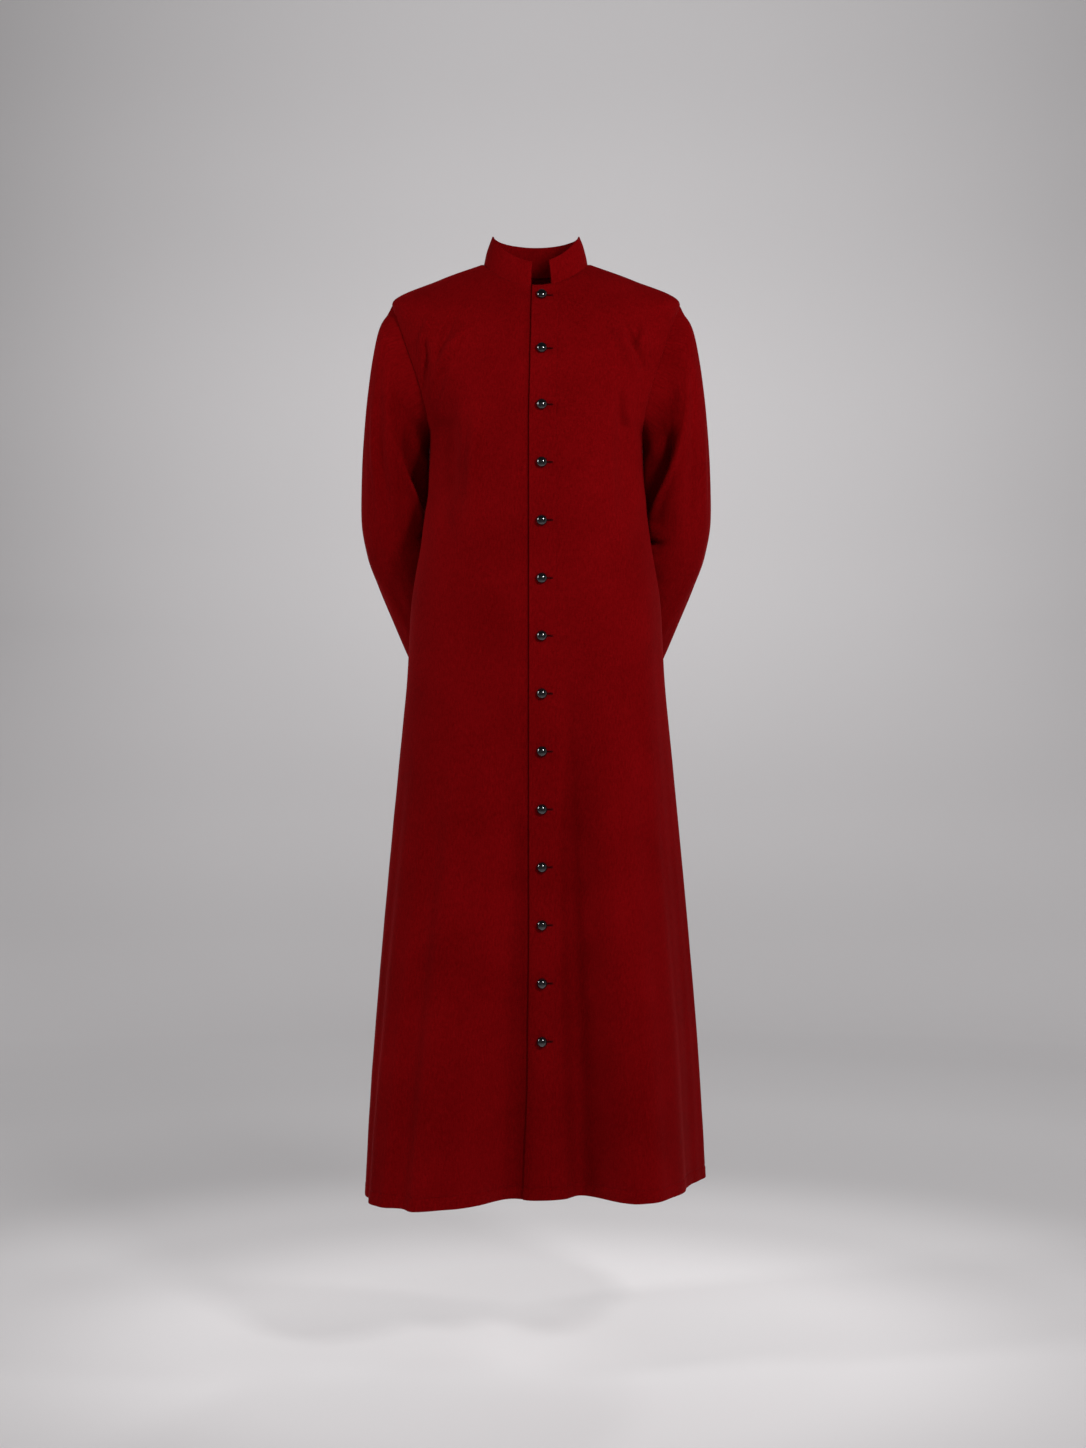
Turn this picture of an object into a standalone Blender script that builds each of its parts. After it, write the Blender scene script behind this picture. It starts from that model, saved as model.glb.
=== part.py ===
"""A cassock as it is worn: a full-length coat with a standing collar, long sleeves and a row of ball buttons.

Metres, +Z up. -Y is the front and +X is the wearer's left. The origin is the centre of the neck opening,
level with the two points where the shoulder seams meet the collar. The wearer stands with the arms held
behind the back and the right foot a little forward, so the sleeves bend backwards at the elbow and the
skirt is pushed out over the right knee.

Every panel is a thin wall. Its outer face is read from a table of sections, and its inner face is that
face moved in by the thickness of the cloth.
"""

import math
from collections import namedtuple

import bmesh
import bpy
import numpy as np
from mathutils import Vector
from mathutils.bvhtree import BVHTree

# The cloth
CLOTH = 0.0015
COLLAR_CLOTH = 0.0024
SEAM_GAP = 0.0003
LAP_GAP = 0.0007
SLEEVE_CLEARANCE = 0.003

# The front closing: the buttons run down the centre front line, and the left front laps over the right
CENTRE_FRONT_X = 0.0085
UNDERLAP_PAST_BUTTONS = 0.018
LAP_STEP_WIDTH = 0.022
LapEdge = namedtuple("LapEdge", "z x")
LAP_EDGES = [
    LapEdge(-1.355, -0.0180),
    LapEdge(-1.200, -0.0120),
    LapEdge(-1.020, -0.0095),
    LapEdge(-0.240, -0.0095),
    LapEdge(-0.040, -0.0055),
]

# The buttons
BUTTON_COUNT = 14
FIRST_BUTTON_Z = -0.0625
BUTTON_PITCH = 0.0822
BUTTON_RADIUS = 0.0075
BUTTON_HEIGHT = 0.0062
BUTTON_BACK = 0.0012
SHANK_RADIUS = 0.0022
SHANK_LENGTH = 0.0016
BUTTON_SIDES = 10

# The collar
COLLAR_NOTCH_RIGHT_X = -0.0065
COLLAR_NOTCH_LEFT_X = 0.0225
COLLAR_TOP_HALF_WIDTH = 0.064
COLLAR_TOP_FRONT_Y = -0.067
COLLAR_TOP_BACK_Y = 0.060
COLLAR_TOP_FRONT_Z = -0.0095
COLLAR_TOP_SIDE_Z = 0.041
COLLAR_TOP_BACK_Z = 0.037
COLLAR_ROUNDING = 0.0015
COLLAR_ROWS = 4

# How finely the walls are faceted
ROW_PITCH = 0.058
YOKE_STEPS = 2
FRONT_COLUMNS = 13
HALF_BACK_COLUMNS = 10
SLEEVE_ROW_PITCH = 0.030
FINE = 121

# The two lengthwise seams of a sleeve, as places round it in degrees from the outer line towards the front
FRONT_SEAM_TURN = 178
HIND_SEAM_TURN = 306

# One row for each level of the body, from the neckline to the hem. The side columns are the seam that both
# the front and the back end on: the shoulder seam, then the armhole, then the side seam. side_y_front and
# side_y_back differ along the armhole, which is open between them. front_* and back_* are on the centre
# lines. wrap is how far round a level turns between its centre line and its edge, and square is how square
# its corners are, 2 for an ellipse.
Section = namedtuple(
    "Section",
    "name side_x side_y_front side_y_back side_z front_y front_z back_y back_z wrap square",
)
SECTIONS = [
    Section("neckline", 0.077, 0.000, 0.000, 0.000, -0.077, -0.045, 0.070, -0.006, 90, 2.0),
    Section("mid shoulder", 0.144, 0.000, 0.000, -0.0245, -0.092, -0.072, 0.090, -0.034, 90, 2.0),
    Section("shoulder tip", 0.213, 0.000, 0.000, -0.060, -0.106, -0.104, 0.110, -0.070, 90, 2.0),
    Section("upper armhole", 0.204, -0.031, 0.038, -0.088, -0.115, -0.130, 0.119, -0.104, 80, 2.0),
    Section("armhole", 0.190, -0.052, 0.062, -0.130, -0.124, -0.163, 0.126, -0.144, 66, 2.1),
    Section("lower armhole", 0.173, -0.059, 0.070, -0.180, -0.132, -0.204, 0.129, -0.190, 62, 2.2),
    Section("armhole foot", 0.160, -0.040, 0.052, -0.232, -0.136, -0.245, 0.128, -0.238, 72, 2.3),
    Section("armpit", 0.157, 0.012, 0.012, -0.262, -0.138, -0.275, 0.126, -0.270, 90, 2.4),
    Section("chest", 0.160, 0.012, 0.012, -0.330, -0.137, -0.335, 0.120, -0.332, 90, 2.4),
    Section("waist", 0.170, 0.012, 0.012, -0.410, -0.134, -0.412, 0.114, -0.410, 90, 2.3),
    Section("hip", 0.185, 0.012, 0.012, -0.505, -0.133, -0.505, 0.114, -0.505, 90, 2.2),
    Section("seat", 0.191, 0.012, 0.012, -0.610, -0.135, -0.610, 0.124, -0.610, 90, 2.1),
    Section("thigh", 0.203, 0.012, 0.012, -0.735, -0.137, -0.735, 0.138, -0.735, 90, 2.1),
    Section("above knee", 0.216, 0.012, 0.012, -0.870, -0.139, -0.870, 0.152, -0.870, 90, 2.0),
    Section("knee", 0.229, 0.012, 0.012, -1.010, -0.142, -1.010, 0.166, -1.010, 90, 2.0),
    Section("calf", 0.242, 0.012, 0.012, -1.170, -0.147, -1.170, 0.181, -1.170, 90, 2.0),
    Section("hem", 0.253, 0.012, 0.012, -1.355, -0.151, -1.355, 0.197, -1.355, 90, 2.0),
]

# One row for each fold of the skirt. angle runs round the body from the centre front, towards the wearer's
# left, at the hem; lean is how much it changes by the fold's top, and heading is the way the fold is pushed.
# depth is at the hem, outwards if positive. growth above 1 makes the fold open later on its way down.
Fold = namedtuple("Fold", "name angle lean heading half_width top_z depth growth")
FOLDS = [
    Fold("right knee", -40, 6, -12, 38, -0.560, 0.110, 1.25),
    Fold("right side", -84, 4, 4, 46, -0.600, 0.110, 1.30),
    Fold("left knee", 38, -4, 10, 23, -0.520, 0.052, 1.15),
    Fold("hollow beside the buttons", 14, -6, 14, 12, -0.400, -0.010, 0.9),
    Fold("left side hollow", 72, 2, 60, 18, -0.300, -0.012, 0.8),
    Fold("back left flute", 128, 0, 140, 22, -0.480, 0.030, 1.2),
    Fold("back middle flute", 178, 4, 180, 24, -0.420, 0.034, 1.2),
    Fold("back right flute", -131, 0, -140, 22, -0.520, 0.028, 1.2),
    Fold("back left hollow", 153, 2, 160, 14, -0.500, -0.014, 1.1),
    Fold("back right hollow", -156, -2, -160, 14, -0.460, -0.014, 1.1),
]

# One row for each ring of the left sleeve after the armhole. outer is the ring's point furthest from the
# body, inner the one nearest to it, and half_depth its half width from front to back.
SleeveRing = namedtuple("SleeveRing", "name outer inner half_depth")
SLEEVE_RINGS = [
    SleeveRing("sleeve head", (0.2240, 0.002, -0.080), (0.1590, 0.016, -0.266), 0.0620),
    SleeveRing("cap", (0.2395, 0.008, -0.121), (0.1605, 0.022, -0.272), 0.0650),
    SleeveRing("underarm", (0.2535, 0.022, -0.222), (0.1630, 0.034, -0.290), 0.0660),
    SleeveRing("upper arm", (0.2610, 0.040, -0.308), (0.1620, 0.054, -0.332), 0.0630),
    SleeveRing("above elbow", (0.2635, 0.062, -0.374), (0.1570, 0.072, -0.370), 0.0590),
    SleeveRing("elbow", (0.2560, 0.085, -0.426), (0.1450, 0.085, -0.402), 0.0570),
    SleeveRing("below elbow", (0.2415, 0.104, -0.468), (0.1320, 0.099, -0.438), 0.0540),
    SleeveRing("forearm", (0.2200, 0.128, -0.523), (0.1150, 0.119, -0.491), 0.0500),
    SleeveRing("above wrist", (0.1960, 0.150, -0.580), (0.0970, 0.140, -0.550), 0.0465),
    SleeveRing("cuff", (0.1640, 0.172, -0.653), (0.0740, 0.164, -0.624), 0.0435),
]

# One row for each large fold of a sleeve. along is the distance down the sleeve's middle, turn the angle
# round it from the outer line towards the front, slant how far turn changes for each metre along.
SleeveFold = namedtuple("SleeveFold", "name side along half_length turn half_turn slant depth")
SLEEVE_FOLDS = [
    SleeveFold("front ridge", "both", 0.130, 0.150, 108, 36, 150, 0.0050),
    SleeveFold("shaded hollow", "both", 0.150, 0.120, 152, 30, 120, -0.0060),
    SleeveFold("elbow crease", "left", 0.272, 0.020, 128, 52, 0, -0.0075),
    SleeveFold("elbow roll", "left", 0.300, 0.022, 122, 60, 0, 0.0045),
    SleeveFold("lower elbow crease", "left", 0.328, 0.018, 118, 54, 0, -0.0050),
    SleeveFold("elbow crease", "right", 0.268, 0.022, 136, 48, 0, -0.0060),
    SleeveFold("elbow roll", "right", 0.298, 0.024, 120, 60, 0, 0.0035),
    SleeveFold("outer line", "both", 0.200, 0.170, 24, 26, 0, 0.0020),
]

RED = (0.150, 0.0035, 0.0055)
BLACK = (0.006, 0.006, 0.007)


def clear_scene():
    for obj in list(bpy.data.objects):
        bpy.data.objects.remove(obj)


def finish_material(name, colour, roughness):
    material = bpy.data.materials.new(name)
    material.use_nodes = True
    shader = material.node_tree.nodes["Principled BSDF"]
    shader.inputs["Base Color"].default_value = (*colour, 1.0)
    shader.inputs["Roughness"].default_value = roughness
    shader.inputs["Metallic"].default_value = 0.0
    return material


def ease(x):
    """0 below 0, 1 above 1 and smooth between."""
    x = np.clip(x, 0.0, 1.0)
    return x * x * (3.0 - 2.0 * x)


def bell(x):
    """1 at 0, falling to 0 at -1 and 1."""
    return np.cos(0.5 * math.pi * np.clip(x, -1.0, 1.0)) ** 2


def unit(v):
    return v / np.linalg.norm(v, axis=-1, keepdims=True)


def smooth_through(knots, values, at):
    """values at the knots, joined by cubics that never pass beyond two neighbouring values."""
    step = np.diff(knots)
    rise = np.diff(values, axis=0) / step[:, None]
    slope = np.zeros_like(values)
    slope[0], slope[-1] = rise[0], rise[-1]
    before, after = rise[:-1], rise[1:]
    same_way = before * after > 0
    weight_a = (2 * step[1:] + step[:-1])[:, None]
    weight_b = (step[1:] + 2 * step[:-1])[:, None]
    safe_before = np.where(same_way, before, 1.0)
    safe_after = np.where(same_way, after, 1.0)
    mean = (weight_a + weight_b) / (weight_a / safe_before + weight_b / safe_after)
    slope[1:-1] = np.where(same_way, mean, 0.0)
    i = int(np.clip(np.searchsorted(knots, at) - 1, 0, len(step) - 1))
    h, s = step[i], (at - knots[i]) / step[i]
    return (
        values[i] * (1 + 2 * s) * (1 - s) ** 2
        + slope[i] * h * s * (1 - s) ** 2
        + values[i + 1] * s * s * (3 - 2 * s)
        + slope[i + 1] * h * s * s * (s - 1)
    )


BODY_TABLE = np.array([row[1:] for row in SECTIONS], float)
COLUMN = {name: i for i, name in enumerate(Section._fields[1:])}
SHOULDER_TIP, ARMPIT = 2, 7
HEM_Z = SECTIONS[-1].side_z


def body_knots():
    """The distance of each section from the neckline, as the mean of the centre line's and the side's."""
    front = BODY_TABLE[:, [COLUMN["front_y"], COLUMN["front_z"]]]
    side = BODY_TABLE[:, [COLUMN["side_x"], COLUMN["side_y_front"], COLUMN["side_z"]]]
    steps = [np.linalg.norm(np.diff(line, axis=0), axis=1) for line in (front, side)]
    return np.concatenate([[0.0], np.cumsum(np.mean(steps, axis=0))])


BODY_KNOTS = body_knots()


def section_at(level):
    row = smooth_through(BODY_KNOTS, BODY_TABLE, level)
    return Section("", *row)


def fold_push(angle, z):
    """How far the folds move the cloth, at an angle round the body in degrees."""
    x, y = 0.0, 0.0
    for fold in FOLDS:
        grown = np.clip((fold.top_z - z) / (fold.top_z - HEM_Z), 0.0, 1.0)
        centre = fold.angle + fold.lean * (1.0 - grown)
        away = (angle - centre + 180.0) % 360.0 - 180.0
        push = fold.depth * grown**fold.growth * ease(3 * grown) * bell(away / fold.half_width)
        heading = math.radians(fold.heading)
        x = x + push * math.sin(heading)
        y = y - push * math.cos(heading)
    return x, y


def body_point(level, angle):
    """The outer face of the body, at angles in degrees from the centre front towards the wearer's left."""
    row = section_at(level)
    angle = np.asarray(angle, float)
    front = np.abs(angle) <= 90.0
    turned = np.radians(np.where(front, np.abs(angle), 180.0 - np.abs(angle)))
    share = turned / (0.5 * math.pi)
    wrap = math.radians(row.wrap)
    power = 2.0 / row.square
    end_sin, end_cos = math.sin(wrap), max(math.cos(wrap), 0.0)
    across = np.clip(np.sin(share * wrap) / end_sin, 0.0, 1.0) ** power
    inward = (1 - np.clip(np.cos(share * wrap), 0.0, 1.0) ** power) / (1 - end_cos**power)
    rise = 1 - np.clip(np.cos(turned), 0.0, 1.0) ** 1.5
    centre_y = np.where(front, row.front_y, row.back_y)
    centre_z = np.where(front, row.front_z, row.back_z)
    side_y = np.where(front, row.side_y_front, row.side_y_back)
    side = np.sign(angle) * row.side_x
    x = side * across
    y = centre_y + (side_y - centre_y) * inward
    z = centre_z + (row.side_z - centre_z) * rise
    push_x, push_y = fold_push(angle, z)
    return np.stack([x + push_x, y + push_y, z], axis=-1)


def body_normal(level, angle):
    """The direction straight out of the body's outer face."""
    small_turn, small_level = 0.05, 0.0004
    low, high = max(level - small_level, 0.0), min(level + small_level, BODY_KNOTS[-1])
    inside = np.where(np.abs(angle) < 90.0, 1.0, -1.0) * np.sign(angle)
    near_seam = np.abs(np.abs(angle) - 90.0) < small_turn
    first = np.where(near_seam, angle - inside * small_turn, angle - small_turn)
    last = np.where(near_seam, angle, angle + small_turn)
    turn = (body_point(level, last) - body_point(level, first)) * np.where(last > first, 1, -1)[:, None]
    down = body_point(high, angle) - body_point(low, angle)
    return unit(np.cross(down, turn))


def lap_edge_x(z):
    """Where the left front's edge lies. It swings a little to the wearer's right near the hem."""
    return np.interp(z, [edge.z for edge in LAP_EDGES], [edge.x for edge in LAP_EDGES])


def levels():
    """The levels of the rows of a panel: every section, and some between. They are closer in the yoke."""
    rows = [0.0]
    for i, (a, b) in enumerate(zip(BODY_KNOTS[:-1], BODY_KNOTS[1:])):
        steps = YOKE_STEPS if i < ARMPIT else max(1, round((b - a) / ROW_PITCH))
        rows += [a + (b - a) * (k + 1) / steps for k in range(steps)]
    return rows


def angles_along(level, stops, start_angle, end_angle, columns):
    """Angles for the columns of one row. The first ones stand at the places in x that stops gives, and the
    others are spaced evenly along the cloth up to the seam."""
    fine = np.linspace(start_angle, end_angle, FINE)
    points = body_point(level, fine)
    along = np.concatenate([[0.0], np.cumsum(np.linalg.norm(np.diff(points, axis=0), axis=1))])
    order = np.argsort(points[:, 0])
    first = [np.interp(x, points[order, 0], along[order]) for x in stops(points[0, 2])] or [SEAM_GAP / 2]
    last = along[-1] - SEAM_GAP / 2
    rest = np.linspace(first[-1], last, columns - len(first) + 1)[1:]
    return np.interp(np.concatenate([first, rest]), along, fine)


def panel(stops, start_angle, end_angle, columns):
    """The outer points and the outward directions of one panel, a row for each level."""
    points, normals = [], []
    for level in levels():
        angles = angles_along(level, stops, start_angle, end_angle, columns)
        points.append(body_point(level, angles))
        normals.append(body_normal(level, angles))
    return np.array(points), np.array(normals)


def wall(name, outer, inward, thickness, material):
    """A closed wall: a grid set on the outer points, and extruded to the inner ones."""
    rows, columns = outer.shape[:2]
    inner = (outer + inward * thickness).reshape(-1, 3)
    outer = outer.reshape(-1, 3)
    mesh = bmesh.new()
    place = mesh.verts.layers.int.new("place")
    bmesh.ops.create_grid(mesh, x_segments=columns - 1, y_segments=rows - 1, size=1)
    for i, vert in enumerate(mesh.verts):
        vert[place] = i
        vert.co = outer[i]
    bmesh.ops.remove_doubles(mesh, verts=mesh.verts, dist=1e-6)
    whole = mesh.faces[:] + mesh.edges[:] + mesh.verts[:]
    made = bmesh.ops.extrude_face_region(mesh, geom=whole, use_keep_orig=True)
    for vert in made["geom"]:
        if isinstance(vert, bmesh.types.BMVert):
            vert.co = inner[vert[place]]
    bmesh.ops.recalc_face_normals(mesh, faces=mesh.faces)
    return place_mesh(name, mesh, material)


def place_mesh(name, mesh, material):
    data = bpy.data.meshes.new(name)
    mesh.to_mesh(data)
    mesh.free()
    data.materials.append(material)
    data.shade_smooth()
    data.set_sharp_from_angle(angle=math.radians(50))
    obj = bpy.data.objects.new(name, data)
    bpy.context.scene.collection.objects.link(obj)
    return obj


def lap_stops(z):
    """The left front's first columns: its edge, the line of the buttons, and the end of the underlap."""
    return [lap_edge_x(z), CENTRE_FRONT_X, CENTRE_FRONT_X + UNDERLAP_PAST_BUTTONS]


def underlap_stops(z):
    """The right front's first columns. They lie under the left front's, so that the two keep parallel."""
    return lap_stops(z)[::-1] + [lap_edge_x(z) - LAP_STEP_WIDTH]


def make_fronts(cloth):
    """The left front laps over the right, which is stepped in under it by the thickness of the cloth."""
    points, normals = panel(lap_stops, -30.0, 90.0, FRONT_COLUMNS)
    left = wall("front_left", points, -normals, CLOTH, cloth)
    neckline_left = points[0]

    points, normals = panel(underlap_stops, 30.0, -90.0, FRONT_COLUMNS)
    past_edge = points[..., 0] - lap_edge_x(points[..., 2]) + LAP_STEP_WIDTH
    under = ease(past_edge / (0.98 * LAP_STEP_WIDTH))
    points = points - normals * (under * (CLOTH + LAP_GAP))[..., None]
    right = wall("front_right", points, -normals, CLOTH, cloth)
    return left, right, neckline_left, points[0]


def make_back(cloth):
    points, normals = [], []
    for level in levels():
        right = angles_along(level, lambda z: [], -90.001, -179.999, HALF_BACK_COLUMNS)
        left = angles_along(level, lambda z: [], 90.001, 179.999, HALF_BACK_COLUMNS)
        angles = np.concatenate([right[:-1], [180.0], left[-2::-1]])
        points.append(body_point(level, angles))
        normals.append(body_normal(level, angles))
    return wall("back", np.array(points), -np.array(normals), CLOTH, cloth), points[0]


def armhole():
    """The left armhole's points, the body's outward directions there and the way across the seam from the
    body to the sleeve. It runs from the shoulder tip down the front and up the back, with turn in degrees."""
    rows = [row for row in levels() if BODY_KNOTS[SHOULDER_TIP] <= row <= BODY_KNOTS[ARMPIT]]
    turns, points, normals, across = [], [], [], []
    for edge, inside, order in ((89.999, 89.9, 1), (90.001, 90.1, -1)):
        line = np.array([body_point(level, np.array([edge]))[0] for level in rows])
        near = np.array([body_point(level, np.array([inside]))[0] for level in rows])
        out = np.array([body_normal(level, np.array([edge]))[0] for level in rows])
        along = np.concatenate([[0.0], np.cumsum(np.linalg.norm(np.diff(line, axis=0), axis=1))])
        turn = 180.0 * along / along[-1]
        seam = unit(np.gradient(line, axis=0))
        away = unit(line - near)
        away = unit(away - np.sum(away * seam, axis=1, keepdims=True) * seam)
        keep = slice(None) if order > 0 else slice(-2, None, -1)
        turns.append(turn[keep] if order > 0 else 360.0 - turn[keep])
        points.append(line[keep])
        normals.append(out[keep])
        across.append(away[keep])
    return [np.concatenate(part) for part in (turns, points, normals, across)]


def sleeve_rings():
    """The centre, the half width outwards and the half width forwards of each ring."""
    outer = np.array([ring.outer for ring in SLEEVE_RINGS])
    inner = np.array([ring.inner for ring in SLEEVE_RINGS])
    depth = np.array([ring.half_depth for ring in SLEEVE_RINGS])
    centre = (outer + inner) / 2
    across = (outer - inner) / 2
    path = np.gradient(centre, axis=0)
    forward = unit(np.cross(path, across)) * depth[:, None]
    return centre, across, forward


def sleeve_fold_push(side, along, turn):
    push = 0.0
    for fold in SLEEVE_FOLDS:
        if fold.side not in ("both", side):
            continue
        step = (along - fold.along) / fold.half_length
        away = (turn - fold.turn - fold.slant * (along - fold.along) + 180.0) % 360.0 - 180.0
        push += fold.depth * bell(step) * bell(away / fold.half_turn)
    return push


def clear_of(body, points, clearance):
    """Points that are nearer to the body than their clearance are moved straight out from it."""
    moved = points.copy()
    for i, j in np.ndindex(points.shape[:2]):
        at = Vector(points[i, j])
        near, out, _, _ = body.find_nearest(at)
        height = (at - near).dot(out)
        if height < clearance[i] and (at - near).length < 0.05:
            moved[i, j] = at + out * (clearance[i] - height)
    return moved


def cut_sleeve(turns):
    """The columns of the top sleeve and those of the under sleeve, which meet at two lengthwise seams."""
    front, hind = (int(np.argmin(np.abs(turns - turn))) for turn in (FRONT_SEAM_TURN, HIND_SEAM_TURN))
    return np.concatenate([np.arange(hind, len(turns) - 1), np.arange(front + 1)]), np.arange(front, hind + 1)


def part_at_seams(points):
    """Both side edges of a panel are moved in by half of a seam's gap."""
    points = points.copy()
    for edge, inside in ((0, 1), (-1, -2)):
        points[:, edge] += unit(points[:, inside] - points[:, edge]) * SEAM_GAP / 2
    return points


def make_sleeve(side, body, cloth):
    """A tube from the armhole to the cuff, cut as a top sleeve and an under sleeve. The right sleeve is the
    left one mirrored, with other creases."""
    turns, start, seam_normals, away = armhole()
    centre, across, forward = sleeve_rings()
    middle = np.vstack([(start[0] + start[len(start) // 2]) / 2, centre])
    along = np.concatenate([[0.0], np.cumsum(np.linalg.norm(np.diff(middle, axis=0), axis=1))])
    rows = round(along[-1] / SLEEVE_ROW_PITCH)
    lengths = np.linspace(0.0, along[-1], rows + 1)
    points = np.zeros((len(lengths), len(turns), 3))
    for j, turn in enumerate(np.radians(turns)):
        line = centre + math.cos(turn) * across + math.sin(turn) * forward
        line = np.vstack([start[j] + away[j] * SEAM_GAP * 1.5, line])
        for i, length in enumerate(lengths):
            points[i, j] = smooth_through(along, line, length)
    normals = tube_normals(points)
    push = np.array([[sleeve_fold_push(side, l, t % 360.0) for t in turns] for l in lengths])
    points = points + normals * push[..., None]
    if side == "right":
        points = points * np.array([-1.0, 1.0, 1.0])
    clearance = SLEEVE_CLEARANCE * ease(lengths / 0.06)
    points[1:] = clear_of(body, points[1:], clearance[1:])
    points[:, -1] = points[:, 0]
    normals = tube_normals(points)
    top = ease((np.cos(np.radians(turns)) + 0.3) / 0.8)[:, None]
    mirror = np.array([-1.0 if side == "right" else 1.0, 1.0, 1.0])
    normals[0] = unit(top * seam_normals * mirror + (1 - top) * normals[0])
    for name, columns in zip(("top_sleeve", "under_sleeve"), cut_sleeve(turns)):
        wall(f"{name}_{side}", part_at_seams(points[:, columns]), -normals[:, columns], CLOTH, cloth)


def tube_normals(points):
    """Directions out of a tube whose last column repeats its first."""
    ring = points[:, :-1]
    turn = np.roll(ring, -1, axis=1) - np.roll(ring, 1, axis=1)
    down = np.gradient(ring, axis=0)
    normals = unit(np.cross(turn, down))
    middle = ring.mean(axis=1, keepdims=True)
    if np.sum((ring - middle) * normals) < 0:
        normals = -normals
    return np.concatenate([normals, normals[:, :1]], axis=1)


def collar_top(angle):
    """The upper edge of the collar: a ring whose height differs at the front, the sides and the back."""
    turn = np.radians(angle)
    at_front = np.cos(turn) > 0
    reach = np.abs(np.cos(turn))
    y = np.where(at_front, COLLAR_TOP_FRONT_Y, COLLAR_TOP_BACK_Y) * reach
    end_z = np.where(at_front, COLLAR_TOP_FRONT_Z, COLLAR_TOP_BACK_Z)
    z = COLLAR_TOP_SIDE_Z + (end_z - COLLAR_TOP_SIDE_Z) * reach**1.5
    return np.stack([COLLAR_TOP_HALF_WIDTH * np.sin(turn), y, z], axis=-1)


def make_collar(neckline, cloth):
    """A standing band on the neckline, open in a notch at the centre front. neckline runs all round."""
    along = np.concatenate([[0.0], np.cumsum(np.linalg.norm(np.diff(neckline, axis=0), axis=1))])
    left, right = slice(0, FRONT_COLUMNS), slice(-FRONT_COLUMNS, None)
    start = np.interp(COLLAR_NOTCH_LEFT_X, neckline[left, 0], along[left])
    end = np.interp(COLLAR_NOTCH_RIGHT_X, neckline[right, 0], along[right])
    at = np.concatenate([[start], along[(along > start + 0.003) & (along < end - 0.003)], [end]])
    foot = np.stack([np.interp(at, along, neckline[:, axis]) for axis in range(3)], axis=-1)
    foot[:, 2] += SEAM_GAP
    low = SECTIONS[0]
    depth = np.where(foot[:, 1] < 0, -low.front_y, low.back_y)
    top = collar_top(np.degrees(np.arctan2(foot[:, 0] / low.side_x, -foot[:, 1] / depth)))
    out = unit((foot + top) * np.array([1.0, 1.0, 0.0]))
    heights = np.linspace(0.0, 1.0, COLLAR_ROWS)
    swell = COLLAR_ROUNDING * np.sin(math.pi * heights)
    points = np.array([foot + (top - foot) * h + out * more for h, more in zip(heights, swell)])
    turn = np.gradient(points, axis=1)
    up = np.gradient(points, axis=0)
    normals = unit(np.cross(turn, up))
    outward = np.sum(normals * points * np.array([1.0, 1.0, 0.0]))
    normals = normals if outward > 0 else -normals
    return wall("collar", points, -normals, COLLAR_CLOTH, cloth)


def button_profile():
    """Half of a ball button's outline as (radius, height), from the top of the dome to the shank's foot."""
    foot = SHANK_LENGTH
    dome = [
        (BUTTON_RADIUS * math.sin(a), foot + BUTTON_BACK + BUTTON_HEIGHT * math.cos(a))
        for a in np.radians([0, 24, 48, 70, 90])
    ]
    return dome + [(0.82 * BUTTON_RADIUS, foot), (SHANK_RADIUS, foot), (SHANK_RADIUS, 0.0), (0.0, 0.0)]


def make_buttons(front, plastic):
    """The buttons stand on the left front, each square to the face of the cloth that it is on."""
    for i in range(BUTTON_COUNT):
        before = Vector((CENTRE_FRONT_X, -1.0, FIRST_BUTTON_Z - i * BUTTON_PITCH))
        seat, out, _, _ = front.ray_cast(before, Vector((0.0, 1.0, 0.0)))
        mesh = bmesh.new()
        corners = [mesh.verts.new((r, 0.0, h)) for r, h in button_profile()]
        edges = [mesh.edges.new(pair) for pair in zip(corners[:-1], corners[1:])]
        bmesh.ops.spin(
            mesh, geom=corners + edges, cent=(0, 0, 0), axis=(0, 0, 1),
            angle=2 * math.pi, steps=BUTTON_SIDES, use_merge=True,
        )
        bmesh.ops.remove_doubles(mesh, verts=mesh.verts, dist=1e-6)
        bmesh.ops.recalc_face_normals(mesh, faces=mesh.faces)
        button = place_mesh(f"button_{i + 1:02d}", mesh, plastic)
        button.location = seat + out * SEAM_GAP
        button.rotation_euler = out.to_track_quat("Z", "Y").to_euler()


def outer_faces(*objects):
    """The faces of the given walls that look away from the wearer."""
    mesh = bmesh.new()
    for obj in objects:
        mesh.from_mesh(obj.data)
    level = Vector((1.0, 1.0, 0.0))
    inner = [face for face in mesh.faces if (face.calc_center_median() * level).dot(face.normal) < 0]
    bmesh.ops.delete(mesh, geom=inner, context="FACES")
    tree = BVHTree.FromBMesh(mesh)
    mesh.free()
    return tree


def main():
    clear_scene()
    cloth = finish_material("red_cloth", RED, 0.85)
    plastic = finish_material("black_button", BLACK, 0.12)
    left, right, left_neck, right_neck = make_fronts(cloth)
    back, back_neck = make_back(cloth)
    body = outer_faces(left, right, back)
    make_sleeve("left", body, cloth)
    make_sleeve("right", body, cloth)
    make_collar(np.concatenate([left_neck, back_neck[-2:0:-1], right_neck[::-1]]), cloth)
    make_buttons(outer_faces(left), plastic)


main()
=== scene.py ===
# %% [markdown]
# # A cassock, as it is worn
#
# A cassock is a long coat, buttoned from collar to below the knee. This file dresses the plain CAD walls of
# one: fine cloth shells with their creases, the sewing, worked buttonholes, polished ball buttons, and a
# quiet studio around it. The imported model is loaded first, because it fixes where every piece goes.

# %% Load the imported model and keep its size
import math
from collections import namedtuple

import bmesh
import bpy
import numpy as np
from mathutils import Matrix, Vector
from mathutils.bvhtree import BVHTree


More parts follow.
